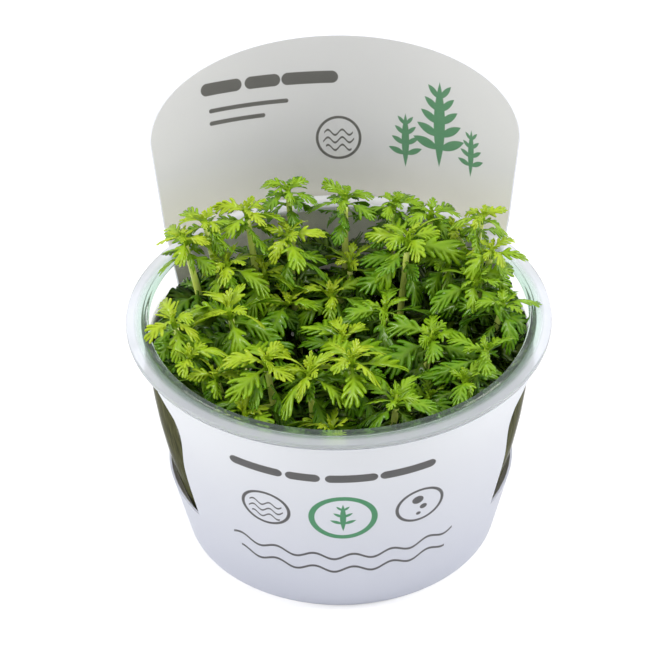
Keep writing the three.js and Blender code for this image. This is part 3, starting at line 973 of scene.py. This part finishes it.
class ShootLine:
    """A curve that leans out from a foot to a top, or a part of it."""

    def __init__(self, foot, top, start=0.0, end=1.0):
        self.foot = np.array(foot, float)
        self.top = np.array(top, float)
        self.start = start
        self.end = end

    def at(self, t):
        share = mix(self.start, self.end, t)
        lean = share * share * (1 + LEAN_BEND - LEAN_BEND * share)
        return np.array([
            mix(self.foot[0], self.top[0], lean),
            mix(self.foot[1], self.top[1], lean),
            mix(self.foot[2], self.top[2], share),
        ])

    def at_height(self, height):
        return self.at((height - self.foot[2]) / (self.top[2] - self.foot[2]))


def new_leaf(root, azimuth, rise, droop, length, size, whorl=0):
    """A leaf's facts, from its azimuth in radians and its rise and droop in degrees."""
    return {
        "root": root,
        "azimuth": azimuth,
        "rise": math.radians(rise),
        "droop": math.radians(droop),
        "length": length,
        "size": size,
        "whorl": whorl,
    }


def leaf_point(leaf, t):
    """A place on a leaf's middle line, at a share of its length."""
    half_bend = leaf["droop"] * t / 2
    sinc = math.sin(half_bend) / half_bend if half_bend > 0 else 1
    chord = leaf["length"] * t * sinc
    slope = leaf["rise"] - half_bend
    reach = chord * math.cos(slope)
    return leaf["root"] + np.array([
        reach * math.cos(leaf["azimuth"]),
        reach * math.sin(leaf["azimuth"]),
        chord * math.sin(slope),
    ])


# Shares of a leaf's length, and the room that it needs there
LEAF_BEADS = [(0.4, 1.2), (0.6, 1.8), (0.82, 1.8), (1, 0.7)]
LINE_BEADS = 18

# How much more than across a leaf is kept clear up and down
LEVEL_SHARE = 1.7

# Behind this, a leaf above the rim could meet the tab
TAB_SIDE_STARTS = 12
TAB_SIDE_LIMIT = FLANGE_RADIUS - 1.5
OPEN_SIDE_LIMIT = FLANGE_RADIUS + 1


def leaf_beads(leaf):
    """Rows of x, y, z and the room that is needed there."""
    return np.array([[*leaf_point(leaf, t), room * leaf["size"]] for t, room in LEAF_BEADS])


def line_beads(line):
    return np.array([[*line.at(share), STEM_RADIUS] for share in shares(LINE_BEADS)])


def inside_cup(beads, margin):
    for x, y, z, room in beads:
        if z - room < CUP_HEIGHT + 1:
            limit = inner_wall_radius(z) - margin
        else:
            limit = TAB_SIDE_LIMIT if y > TAB_SIDE_STARTS else OPEN_SIDE_LIMIT
        if math.hypot(x, y) + room >= limit:
            return False
    return True


def clear_of(beads, others, ease):
    away = beads[:, None, :3] - others[None, :, :3]
    away[:, :, 2] *= LEVEL_SHARE
    needed = beads[:, None, 3] + others[None, :, 3] + GAP - ease
    return bool((np.sqrt((away ** 2).sum(2)) > needed).all())


# How a leaf looks for room, and how near it may come to the wall and to other leaves
MAIN_SEARCH = {"shorter": (1, 0.72), "turns": 11, "step": math.radians(9), "margin": 0.8, "ease": 0}
FILL_SEARCH = {"shorter": (1, 0.75, 0.55), "turns": 7, "step": math.radians(17)}
FILL_SEARCH.update(margin=-0.7, ease=1.5)
WINDOW_SEARCH = dict(FILL_SEARCH, margin=-6, ease=2.4)


def settle(leaf, others, search):
    """Turns a leaf a little to either side, and then shortens it, until it has room."""
    for shortening in search["shorter"]:
        for i in range(search["turns"]):
            turn = math.ceil(i / 2) * search["step"] * (1 if i % 2 else -1)
            tried = dict(leaf, azimuth=leaf["azimuth"] + turn, length=leaf["length"] * shortening)
            beads = leaf_beads(tried)
            if inside_cup(beads, search["margin"]) and clear_of(beads, others, search["ease"]):
                return tried, beads
    return None


def ring(centre, azimuth):
    """Three corners round a stalk."""
    turns = [azimuth + math.radians(turn) for turn in (-60, 60, 180)]
    return [centre + heading(turn) * AXIS_RADIUS for turn in turns]


def facets(lower, upper):
    """The three facets that stand on the lower ring's edges."""
    middles = [(lower[i] + lower[(i + 1) % 3]) / 2 for i in range(3)]

    def misfit(shift):
        return sum(((middles[i] - upper[(i + shift) % 3]) ** 2).sum() for i in range(3))

    shift = min((0, 1, 2), key=misfit)
    return [(lower[i], lower[(i + 1) % 3], upper[(i + shift) % 3]) for i in range(3)]


def low_whorl(below):
    return {"below": below, "reach": 0.95, "rise": (-10, 25), "droop": (25, 60)}


def grow_rosette(start, line, whorls, size, index, grow):
    """Whorls of three leaves up a line, on the facets between rings of corners."""
    phase = spread(index, 1) * 2 * math.pi
    height = line.at(1)[2] - line.at(0)[2]

    def along(below):
        return line.at(1 - below * size / height)

    current = start
    for w, whorl in enumerate(whorls):
        turn = phase + math.radians(w * 60)
        if w < len(whorls) - 1:
            current = ring(along(whorl["below"]), turn)
        upper = ring(along(whorl["below"] - WHORL_STEP), turn + math.radians(60))
        for j, facet in enumerate(facets(current, upper)):
            mark = index * 12 + w * 3 + j
            vary = spread(mark, 2)
            grow(new_leaf(
                sum(facet) / 3,
                turn + math.radians(j * 120),
                mix(*whorl["rise"], vary),
                mix(*whorl["droop"], spread(mark, 3)),
                LEAF_LENGTH * size * whorl["reach"] * mix(0.85, 1.05, vary),
                size,
                w + 4 - len(whorls),
            ))
        current = upper


def plan_shoots():
    """Each shoot's lines: its whole stem, its bare and leafy parts, and its side shoot."""
    plans = []
    for number, shoot_facts in enumerate(SHOOTS, 1):
        top, side, leafy = (shoot_facts[key] for key in ("top", "side", "leafy"))
        foot = np.array([top[0] * FOOT_SHARE, top[1] * FOOT_SHARE, GEL_TOP - ROOT_DEPTH + GAP])
        fork_height = side[2] - FORK_DROP if side else top[2]
        leafy_height = min(top[2] - leafy, fork_height)
        leafy_start = (leafy_height - foot[2]) / (top[2] - foot[2])
        joint = GAP / (top[2] - foot[2])
        axis = ShootLine(foot, top, leafy_start, 1)
        lowest = [] if side else [low_whorl((leafy - 2) / shoot_facts["size"])]
        plans.append({
            **shoot_facts,
            "number": number,
            "whole": ShootLine(foot, top),
            "stem": ShootLine(foot, top, 0, leafy_start - joint),
            "axis": axis,
            "whorls": [*lowest, *UPPER_WHORLS],
            "branch": ShootLine(axis.at(BRANCH_STARTS), side) if side else None,
            "leaves": [],
            "tips": [],
        })
    return plans


def settle_leaves(plans):
    """Finds each leaf's place, in the CAD model's order."""
    beads = []
    for plan in plans:
        lines = [line for line in (plan["whole"], plan["branch"]) if line]
        beads.append(np.concatenate([line_beads(line) for line in lines]))
    index = 0
    for i, plan in enumerate(plans):
        own = []

        def grow(wanted):
            others = np.concatenate([b for j, b in enumerate(beads) if j != i] + own)
            settled = settle(wanted, others, MAIN_SEARCH)
            if settled:
                plan["leaves"].append(settled[0])
                own.append(settled[1])

        axis, branch = plan["axis"], plan["branch"]
        rosettes = [(axis, ring(axis.at(0), 0), plan["whorls"])]
        if branch:
            out = branch.at(1) - branch.at(0)
            facing = math.atan2(out[1], out[0])
            fork = ring(axis.at(FORK_SHARE), facing + math.radians(60))
            elbow = ring(branch.at(ELBOW_SHARE), facing)
            rosettes = [(branch, elbow, UPPER_WHORLS), (axis, fork, plan["whorls"])]
        for line, start, whorls in rosettes:
            grow_rosette(start, line, whorls, plan["size"], index, grow)
            plan["tips"].append((line, index))
            index += 1
        beads[i] = np.concatenate([beads[i], *own])
    return beads


def room_to_wall(root, azimuth):
    """How far it is from a stem to the cup's wall, on the level."""
    along = root[0] * math.cos(azimuth) + root[1] * math.sin(azimuth)
    outside = root[0] ** 2 + root[1] ** 2 - (inner_wall_radius(root[2]) - 0.2) ** 2
    return math.sqrt(along ** 2 - outside) - along


# Only beads within this of a small leaf's root are looked at, and not those of its own stem
NEAR = 26
OWN_STEM = 1.2


def fill_shoots(plans, beads, leaves_of, search, chance):
    """Puts smaller leaves in, wherever they have room."""
    for i, plan in enumerate(plans):
        own = []
        others = np.concatenate(beads)
        for leaf in leaves_of(plan, chance):
            away = np.abs(others[:, :3] - leaf["root"])
            aside = np.hypot(away[:, 0], away[:, 1])
            settled = settle(leaf, others[(away.max(1) < NEAR) & (aside > OWN_STEM)], search)
            if settled:
                plan["leaves"].append(settled[0])
                own.append(settled[1])
        beads[i] = np.concatenate([beads[i], *own])


CROWN_LEVELS = (3.2, 6.0)
CROWN_LEAF_SIZE = 0.62
BARE_IN_FRONT_OF = -15


def crown_leaves(plan, chance):
    """Leaves between the whorls of a crown."""
    for line, index in plan["tips"]:
        height = line.at(1)[2] - line.at(0)[2]
        bare_below = plan["branch"] and line is plan["axis"] and line.top[1] < BARE_IN_FRONT_OF
        for level, below in enumerate(CROWN_LEVELS):
            if below * plan["size"] > height - 1 or (bare_below and level > 0):
                continue
            middle = line.at(1 - below * plan["size"] / height)
            for j in range(3):
                azimuth = math.radians(120 * j + 47 * level + 61 * index + chance.uniform(-25, 25))
                rise = chance.uniform(-5, 35)
                droop = chance.uniform(30, 75)
                length = plan["size"] * chance.uniform(8, 11.5)
                yield new_leaf(middle, azimuth, rise, droop, length, CROWN_LEAF_SIZE, 1)


UNDERGROWTH_STARTS = 18.5
UNDERGROWTH_SIZE = 0.66
BY_WALL_FROM = 22
WALL_LEAVES = 4
WALL_LEAF_STEP = 34
FEW_LEAVES = 4
MANY_LEAVES = 6


def undergrowth(plan, chance):
    """The dark leaves further down; most of those of outer shoots point to the wall."""
    top = plan["axis"].at(0)[2] + 2
    level = UNDERGROWTH_STARTS + chance.uniform(0, 2)
    while level < top:
        middle = plan["whole"].at_height(level)
        outward = math.atan2(middle[1], middle[0])
        by_wall = math.hypot(middle[0], middle[1]) > BY_WALL_FROM
        for j in range(MANY_LEAVES if by_wall else FEW_LEAVES):
            near_wall = by_wall and j < WALL_LEAVES
            turn = math.radians((j - 1.5) * WALL_LEAF_STEP if near_wall else 97 * j + 40 * level)
            azimuth = outward + turn + math.radians(chance.uniform(-12, 12))
            rise = chance.uniform(-5, 35)
            droop = chance.uniform(20, 70)
            length = chance.uniform(14, 19) if near_wall else chance.uniform(9, 13)
            yield new_leaf(middle, azimuth, rise, droop, length, UNDERGROWTH_SIZE)
        level += chance.uniform(4.5, 6)


WINDOW_LEAVES_START = 14.8
WINDOW_LEAVES_END = 48
WINDOW_LEAF_TOP = 56
WINDOW_LEAF_SIZE = 0.5
WINDOW_LEAF_BREADTH = 1.8
BELOW_TOP = 14
WINDOW_FAN = 11
WINDOW_FAN_STEP = 18
PAST_WALL = 1.2


def window_leaves(plan, chance):
    """Broad leaves that fan out to the wall behind the windows, and are then bent along it."""
    whole = plan["whole"]
    if abs(whole.top[0]) < WINDOW_SHOOTS_FROM:
        return
    level = WINDOW_LEAVES_START
    while level < min(whole.top[2] - BELOW_TOP, WINDOW_LEAVES_END):
        middle = whole.at_height(level)
        outward = math.atan2(middle[1], middle[0])
        for j in range(WINDOW_FAN):
            turn = (j - WINDOW_FAN // 2) * WINDOW_FAN_STEP + chance.uniform(-8, 8)
            azimuth = outward + math.radians(turn)
            rise = chance.uniform(0, 62)
            droop = chance.uniform(0, 40)
            slope = math.radians(rise - droop / 2)
            to_wall = PAST_WALL * (room_to_wall(middle, azimuth) / math.cos(slope))
            to_top = (WINDOW_LEAF_TOP - level) / max(math.sin(slope), 0.1)
            length = min(to_wall, LONGEST_LOW_LEAF, to_top)
            leaf = new_leaf(middle, azimuth, rise, droop, length, WINDOW_LEAF_SIZE)
            yield dict(leaf, broad=WINDOW_LEAF_BREADTH)
        level += chance.uniform(3.2, 4.4)


def fill_leaves(plans, beads):
    """Adds the smaller leaves, all from one run of chance."""
    chance = random.Random(5)
    fill_shoots(plans, beads, crown_leaves, FILL_SEARCH, chance)
    fill_shoots(plans, beads, undergrowth, FILL_SEARCH, chance)
    fill_shoots(plans, beads, window_leaves, WINDOW_SEARCH, chance)


# Leaves in full detail

STALK_SIDES = 10
STALK_RIB = 0.6
AXIS_STEPS = 9
STEM_STEPS = 8
AXIS_AGE = 0.2
STEM_AGE = 0.3


class Foliage:
    """Collects leaves or stalks as one mesh, with each corner's age and its nearness to a rib."""

    def __init__(self):
        self.points = []
        self.faces = []
        self.looks = []

    def add(self, point, age, rib):
        self.points.append(tuple(point))
        self.looks.append((age, rib, 0))
        return len(self.points) - 1

    def tube(self, centres, radii, ages):
        """A stalk through the centres."""
        rings = []
        for i, (centre, radius, age) in enumerate(zip(centres, radii, ages)):
            after = centres[min(i + 1, len(centres) - 1)]
            before = centres[max(i - 1, 0)]
            forward = Vector(after - before).normalized()
            side = forward.cross(Vector((0.3, 1, 0.1))).normalized()
            other = forward.cross(side)
            turns = [2 * math.pi * k / STALK_SIDES for k in range(STALK_SIDES)]
            outs = [side * math.cos(turn) + other * math.sin(turn) for turn in turns]
            rings.append([self.add(Vector(centre) + out * radius, age, STALK_RIB) for out in outs])
        join_rings(rings, self.faces)
        self.faces.append(rings[0][::-1])
        self.faces.append(rings[-1])


# How near a leaf may come to the wall and the gel, and over how much it gives way
LEAF_ROOM = 0.3
LEAF_GIVE = 0.6
RIM_TOP = CUP_HEIGHT + BEAD_HEIGHT + 0.2


def held(value, limit):
    """A value that eases off before a limit, and stays short of it."""
    free = limit - LEAF_ROOM - LEAF_GIVE
    if value < free:
        return value
    return free + LEAF_GIVE * (1 - math.exp(-(value - free) / LEAF_GIVE))


def keep_clear(point):
    """Where a leaf meets the cup's wall, its rim or the gel, it bends along it."""
    radius = math.hypot(point[0], point[1])
    if radius > WALL_RADIUS_AT_FLANGE - WALL_THICKNESS and point[2] > CUP_HEIGHT - FLANGE_THICKNESS:
        return np.array([point[0], point[1], max(point[2], RIM_TOP)])
    if point[2] > CUP_HEIGHT:
        return point
    pressed = held(radius, inner_wall_radius(point[2])) / max(radius, LEAF_GIVE)
    return np.array([point[0] * pressed, point[1] * pressed, -held(-point[2], -GEL_TOP)])


GROWN_FROM = 6.5
LEAF_THICKNESS = 0.17
LOBE_HALF_WIDTH = 0.5
STALK_HALF_WIDTH = 0.42
LAST_HUB = 0.8
LOBE_REACH = 0.35
LOBE_STATIONS = [(0.72, 1.0), (0.92, 0.76)]
FIRST_LOBE_ANGLE = 58
LAST_LOBE_ANGLE = 37
END_STATIONS = [(0.92, 0.95), (0.97, 0.6)]

# Shares of two neighbouring lobes between which the blade's edge turns in
SINUS_SHARE = 0.42
NEXT_SINUS_SHARE = 0.34


class LeafShape:
    """Draws one lobed leaf along its middle line, as a thin closed body."""

    def __init__(self, foliage, leaf, age, seed):
        self.foliage = foliage
        self.leaf = leaf
        self.age = age
        self.random = random.Random(seed)
        self.length = leaf["length"]
        scale = self.length / LEAF_LENGTH
        self.thick = LEAF_THICKNESS * mix(0.5, 1, scale)
        self.lobe_half = LOBE_HALF_WIDTH * mix(0.35, 1, scale) * leaf.get("broad", 1)
        self.stalk_half = STALK_HALF_WIDTH * mix(0.4, 1, scale)
        grown = self.length > GROWN_FROM and "broad" not in leaf
        self.lobes = 4 if grown else 3
        self.petiole = 0.28 if grown else 0.2
        self.roll = self.random.uniform(-0.75, 0.75)
        self.twist = self.random.uniform(-1.2, 1.2)
        self.curl = self.random.uniform(0.0, 0.9)
        self.fold = self.random.uniform(-0.1, 0.45)
        self.sag = self.random.uniform(0.0, 0.26) * self.length
        self.swerve = self.random.uniform(-0.22, 0.22) * self.length

    def at(self, s, v, lift):
        """A point at share s of the length, v mm to the side and lift mm above the blade."""
        leaf = self.leaf
        slope = leaf["rise"] - leaf["droop"] * s
        cosine, sine = math.cos(leaf["azimuth"]), math.sin(leaf["azimuth"])
        roll = self.roll + self.twist * (s - 0.5)
        side = np.array([-sine, cosine, 0.0])
        up = np.array([-math.sin(slope) * cosine, -math.sin(slope) * sine, math.cos(slope)])
        width = abs(v) / max(self.length, 1)
        bent_up = lift + abs(v) * self.fold - self.curl * abs(v) * width * 1.8
        turned_side = side * math.cos(roll) + up * math.sin(roll)
        turned_up = up * math.cos(roll) - side * math.sin(roll)
        droops = np.array([0, 0, -self.sag * s * s]) + side * self.swerve * s * s
        return keep_clear(leaf_point(leaf, s) + droops + turned_side * v + turned_up * bent_up)

    def pair(self, s, v, thickness, rib):
        """The same place on the blade's upper and lower side."""
        lifts = (thickness, -thickness * 0.6)
        return tuple(self.foliage.add(self.at(s, v, lift), self.age, rib) for lift in lifts)

    def single(self, s, v, rib=0.0):
        """A place on the blade's edge, where its sides meet."""
        point = self.foliage.add(self.at(s, v, 0), self.age, rib)
        return point, point

    def face(self, corners, flip):
        """One face on the upper side and its twin on the lower side."""
        for k, backwards in ((0, flip), (1, not flip)):
            ids = list(dict.fromkeys(corner[k] for corner in corners))
            add_face(self.foliage.faces, ids[::-1] if backwards else ids)

    def draw(self):
        first = self.petiole * 0.9
        origins = [mix(first, LAST_HUB, (k + 0.35) / self.lobes) for k in range(self.lobes)]
        stalk = [0.0, self.petiole * 0.5, self.petiole * 0.85]
        rib = []
        edges = {1: [], -1: []}
        for s in stalk:
            rib.append(self.pair(s, 0, self.thick * 1.5, 1))
            half = self.stalk_half * mix(1.25, 0.9, s / self.petiole)
            for side, edge in edges.items():
                edge.append(self.single(s, side * half, 0.7))
        for i in range(len(stalk) - 1):
            for side, edge in edges.items():
                self.face([rib[i], rib[i + 1], edge[i + 1], edge[i]], side < 0)
        hub = [self.pair(s, 0, self.thick * mix(1.4, 1.0, s), 1) for s in origins]
        hub.append(self.pair(LAST_HUB + 0.03, 0, self.thick, 0.9))
        ends = {side: self.draw_side(side, origins, rib[-1], edges[side][-1], hub) for side in edges}
        self.draw_end(ends, hub[-1])

    def lobe_axes(self, origins):
        """Each lobe's start, length, angle and how far it leans forward."""
        axes = []
        for k, origin in enumerate(origins):
            share = k / (self.lobes - 1)
            swell = 0.74 + 0.34 * math.sin(math.pi * min(share * 0.9 + 0.12, 1)) + 0.06 * share
            reach = LOBE_REACH * self.length * swell * self.random.uniform(0.8, 1.12)
            angle = mix(FIRST_LOBE_ANGLE, LAST_LOBE_ANGLE, share) + self.random.uniform(-9, 9)
            axes.append((origin, reach, math.radians(angle), math.radians(self.random.uniform(8, 20))))
            # This draw isn't used, but keeps those of the next lobe as they are
            self.random.random()
        return axes

    def draw_side(self, side, origins, start_rib, start_edge, hub):
        """The lobes of one side; gives back the corner after the last one."""
        axes = self.lobe_axes(origins)

        def on_axis(k, share, aside=0.0):
            origin, reach, angle, lean = axes[k]
            bend = angle - lean * share
            s = origin + (reach * share * math.cos(bend) + aside * math.sin(bend)) / self.length
            v = reach * share * math.sin(bend) - aside * math.cos(bend)
            return s, side * v

        sinuses = [start_edge]
        for k in range(self.lobes - 1):
            here = on_axis(k, SINUS_SHARE)
            there = on_axis(k + 1, NEXT_SINUS_SHARE)
            s, v = (here[0] + there[0]) / 2, (here[1] + there[1]) / 2
            sinuses.append(self.single(s, v * 0.92, 0.15))
        s, v = on_axis(self.lobes - 1, SINUS_SHARE)
        sinuses.append(self.single((s + 0.88) / 2, v * 0.62, 0.15))
        self.face([start_rib, hub[0], sinuses[0]], side < 0)
        for k in range(self.lobes):
            low, high = sinuses[k], sinuses[k + 1]
            middle = self.pair(*on_axis(k, 0.46), self.thick * 1.1, 0.8)
            self.face([hub[k], middle, low], side < 0)
            self.face([hub[k], high, middle], side < 0)
            self.face([hub[k], hub[k + 1], high], side < 0)
            before_right, before_left, before_axis = low, high, middle
            for share, width in LOBE_STATIONS:
                half = self.lobe_half * width
                axis = self.pair(*on_axis(k, share), self.thick * mix(1.1, 0.7, share), 0.45)
                right = self.single(*on_axis(k, share, -half))
                left = self.single(*on_axis(k, share, half))
                self.face([before_right, right, axis, before_axis], side > 0)
                self.face([before_axis, axis, left, before_left], side > 0)
                before_right, before_left, before_axis = right, left, axis
            tip = self.single(*on_axis(k, 1.0), 0.2)
            self.face([before_right, tip, before_axis], side > 0)
            self.face([before_axis, tip, before_left], side > 0)
        return sinuses[-1]

    def draw_end(self, before, before_axis):
        """The lobe at the leaf's very end."""
        for s, width in END_STATIONS:
            axis = self.pair(s, 0, self.thick * 0.9, 0.4)
            for side in (1, -1):
                edge = self.single(s, side * self.lobe_half * width)
                self.face([before_axis, axis, edge, before[side]], side < 0)
                before[side] = edge
            before_axis = axis
        tip = self.single(1.01, 0, 0.2)
        for side in (1, -1):
            self.face([before_axis, tip, before[side]], side < 0)


AGE_BY_WHORL = (0.52, 0.34, 0.2, 0.08)
# Painted shade and age together: how much darker leaves are deep in the cup.
AGE_AND_SHADE_BY_DEPTH = 0.42
DARKEST_BELOW = 38
LIGHTEST_ABOVE = 66


def leaf_age(leaf):
    """Older leaves grow lower on the shoot, and are darker there; the darkening with depth is also
    painted shade deep in the cup.
    """
    depth = 1 - smooth_step(DARKEST_BELOW, LIGHTEST_ABOVE, leaf["root"][2])
    return min(AGE_BY_WHORL[leaf["whorl"]] + AGE_AND_SHADE_BY_DEPTH * depth, 1)


YOUNG_TILT = 34
YOUNG_TURN = 137.5
YOUNG_ROOT_RADIUS = 0.35


def young_leaves(line, index, size):
    """Small upright leaves that crowd about a shoot's tip."""
    tilt = YOUNG_TILT * spread(index, 6)
    tilted_to = 2 * math.pi * spread(index, 7)
    made = []
    for i, share in enumerate(shares(YOUNG_LEAVES - 1)):
        azimuth = math.radians(YOUNG_TURN * i) + 6 * spread(index, 5)
        rise = mix(42, 82, share) - tilt * math.cos(azimuth - tilted_to)
        root = line.at(1) + YOUNG_ROOT_RADIUS * heading(azimuth)
        root[2] += mix(-0.6, 0.3, share)
        droop = mix(70, 20, share)
        made.append(new_leaf(root, azimuth, rise, droop, size * mix(8, 3, share), size))
    return made


def draw_axis(foliage, line):
    """The pale stalk of a leafy top, up to its bud."""
    up = [BUD_STARTS * share for share in shares(AXIS_STEPS)]
    radii = [mix(AXIS_RADIUS, BUD_RADIUS, share) for share in up]
    foliage.tube([line.at(share) for share in up], radii, [AXIS_AGE] * len(up))


def draw_bud(foliage, line, size):
    """The green bud at a leafy top's tip."""
    tip = line.at(1)
    centres = [line.at(BUD_STARTS), tip, tip + np.array([0, 0, BUD_HEIGHT * size])]
    start_radius = mix(AXIS_RADIUS, BUD_RADIUS, BUD_STARTS)
    foliage.tube(centres, [start_radius, BUD_RADIUS, BUD_TIP_RADIUS], [0.3, 0.2, 0.1])


def make_leafy_top(plan, number, look):
    """All leaves of a shoot, and its buds."""
    foliage = Foliage()
    for i, leaf in enumerate(plan["leaves"]):
        LeafShape(foliage, leaf, leaf_age(leaf) + plan["tone"], plan["number"] * 100 + i).draw()
    for line, index in plan["tips"]:
        for i, leaf in enumerate(young_leaves(line, index, plan["size"])):
            age = 0.02 + 0.1 * (YOUNG_LEAVES - i) / YOUNG_LEAVES + max(plan["tone"], 0)
            LeafShape(foliage, leaf, age, index * 50 + i + 7000).draw()
        draw_bud(foliage, line, plan["size"])
    top = to_object(f"leafy_shoot_{number}", foliage.points, foliage.faces, [look])
    add_colour(top, "leaf", foliage.looks)
    place(top, "leaf", f"leafy_top_{number}")


def make_stem(plan, number, look):
    """A shoot's stalks: the bare stem, and the axes that its leafy tops grow on."""
    stalks = Foliage()
    for line in (plan["axis"], plan["branch"]):
        if line:
            draw_axis(stalks, line)
    place(to_object(f"shoot_axis_{number}", stalks.points, stalks.faces, [look]), "stem")
    bare = Foliage()
    centres = [plan["stem"].at(share) for share in shares(STEM_STEPS)]
    bare.tube(centres, [STEM_RADIUS] * len(centres), [STEM_AGE] * len(centres))
    stem = to_object(f"bare_stem_{number}", bare.points, bare.faces, [look])
    place(stem, "stem", f"stem_{number}")


def make_shoots():
    plans = plan_shoots()
    fill_leaves(plans, settle_leaves(plans))
    green = leaf_look()
    pale = stem_look()
    for plan in plans:
        number = f"{plan['number']:02d}"
        make_leafy_top(plan, number, green)
        make_stem(plan, number, pale)


# Stage, light and camera

def make_stage():
    half = 2000
    corners = [(x * half, y * half, 0) for x, y in ((-1, -1), (1, -1), (1, 1), (-1, 1))]
    floor = to_object("floor", corners, [(0, 1, 2, 3)], [floor_look()])
    floor.location.z = -0.1 * MM


LIGHT_SIZE = 0.4
LIGHT_AIM = Vector((0, 0, 0.05))


def add_light(name, location, power):
    """A round lamp that is aimed at the cup."""
    data = bpy.data.lights.new(name, "AREA")
    data.shape = "DISK"
    data.size = LIGHT_SIZE
    data.energy = power
    data.color = (1.0, 0.99, 0.97)
    light = bpy.data.objects.new(name, data)
    bpy.context.scene.collection.objects.link(light)
    light.location = location
    light.rotation_euler = (LIGHT_AIM - light.location).to_track_quat("-Z", "Y").to_euler()


def make_light():
    world = bpy.data.worlds.new("studio")
    bpy.context.scene.world = world
    world.use_nodes = True
    background = world.node_tree.nodes["Background"]
    background.inputs["Color"].default_value = (1, 1, 1, 1)
    background.inputs["Strength"].default_value = 0.82
    add_light("left_light", (-0.7, -0.05, 0.65), 4.7)
    add_light("right_light", (0.7, 0.05, 0.65), 5.0)
    bpy.context.scene.view_settings.view_transform = "Standard"


def make_camera():
    elevation = CAMERA_ELEVATION
    back = np.array([0, -math.cos(elevation), math.sin(elevation)])
    centre = np.array(CAMERA_TARGET) + CAMERA_DISTANCE * back
    forward = -back
    right = np.array([1.0, 0, 0])
    up = np.cross(right, forward)
    pan = math.atan((TARGET_ACROSS - PHOTO_SIDE / 2) / CAMERA_FOCUS)
    tilt = math.atan((TARGET_DOWN - PHOTO_SIDE / 2) / CAMERA_FOCUS)
    panned = forward * math.cos(pan) - right * math.sin(pan)
    right = right * math.cos(pan) + forward * math.sin(pan)
    forward = panned * math.cos(tilt) + up * math.sin(tilt)
    up = np.cross(right, forward)
    right = right * math.cos(CAMERA_ROLL) + up * math.sin(CAMERA_ROLL)
    up = np.cross(right, forward)
    data = bpy.data.cameras.new("camera")
    data.sensor_width = SENSOR_WIDTH
    data.lens = SENSOR_WIDTH * CAMERA_FOCUS / PHOTO_SIDE
    data.clip_start = 0.01
    camera = bpy.data.objects.new("camera", data)
    bpy.context.scene.collection.objects.link(camera)
    turn = Matrix((right, up, -forward)).transposed()
    camera.matrix_world = Matrix.Translation(Vector(centre * MM)) @ turn.to_4x4()
    bpy.context.scene.camera = camera


make_cup()
make_gel()
make_sleeve()
make_shoots()
make_stage()
make_light()
make_camera()
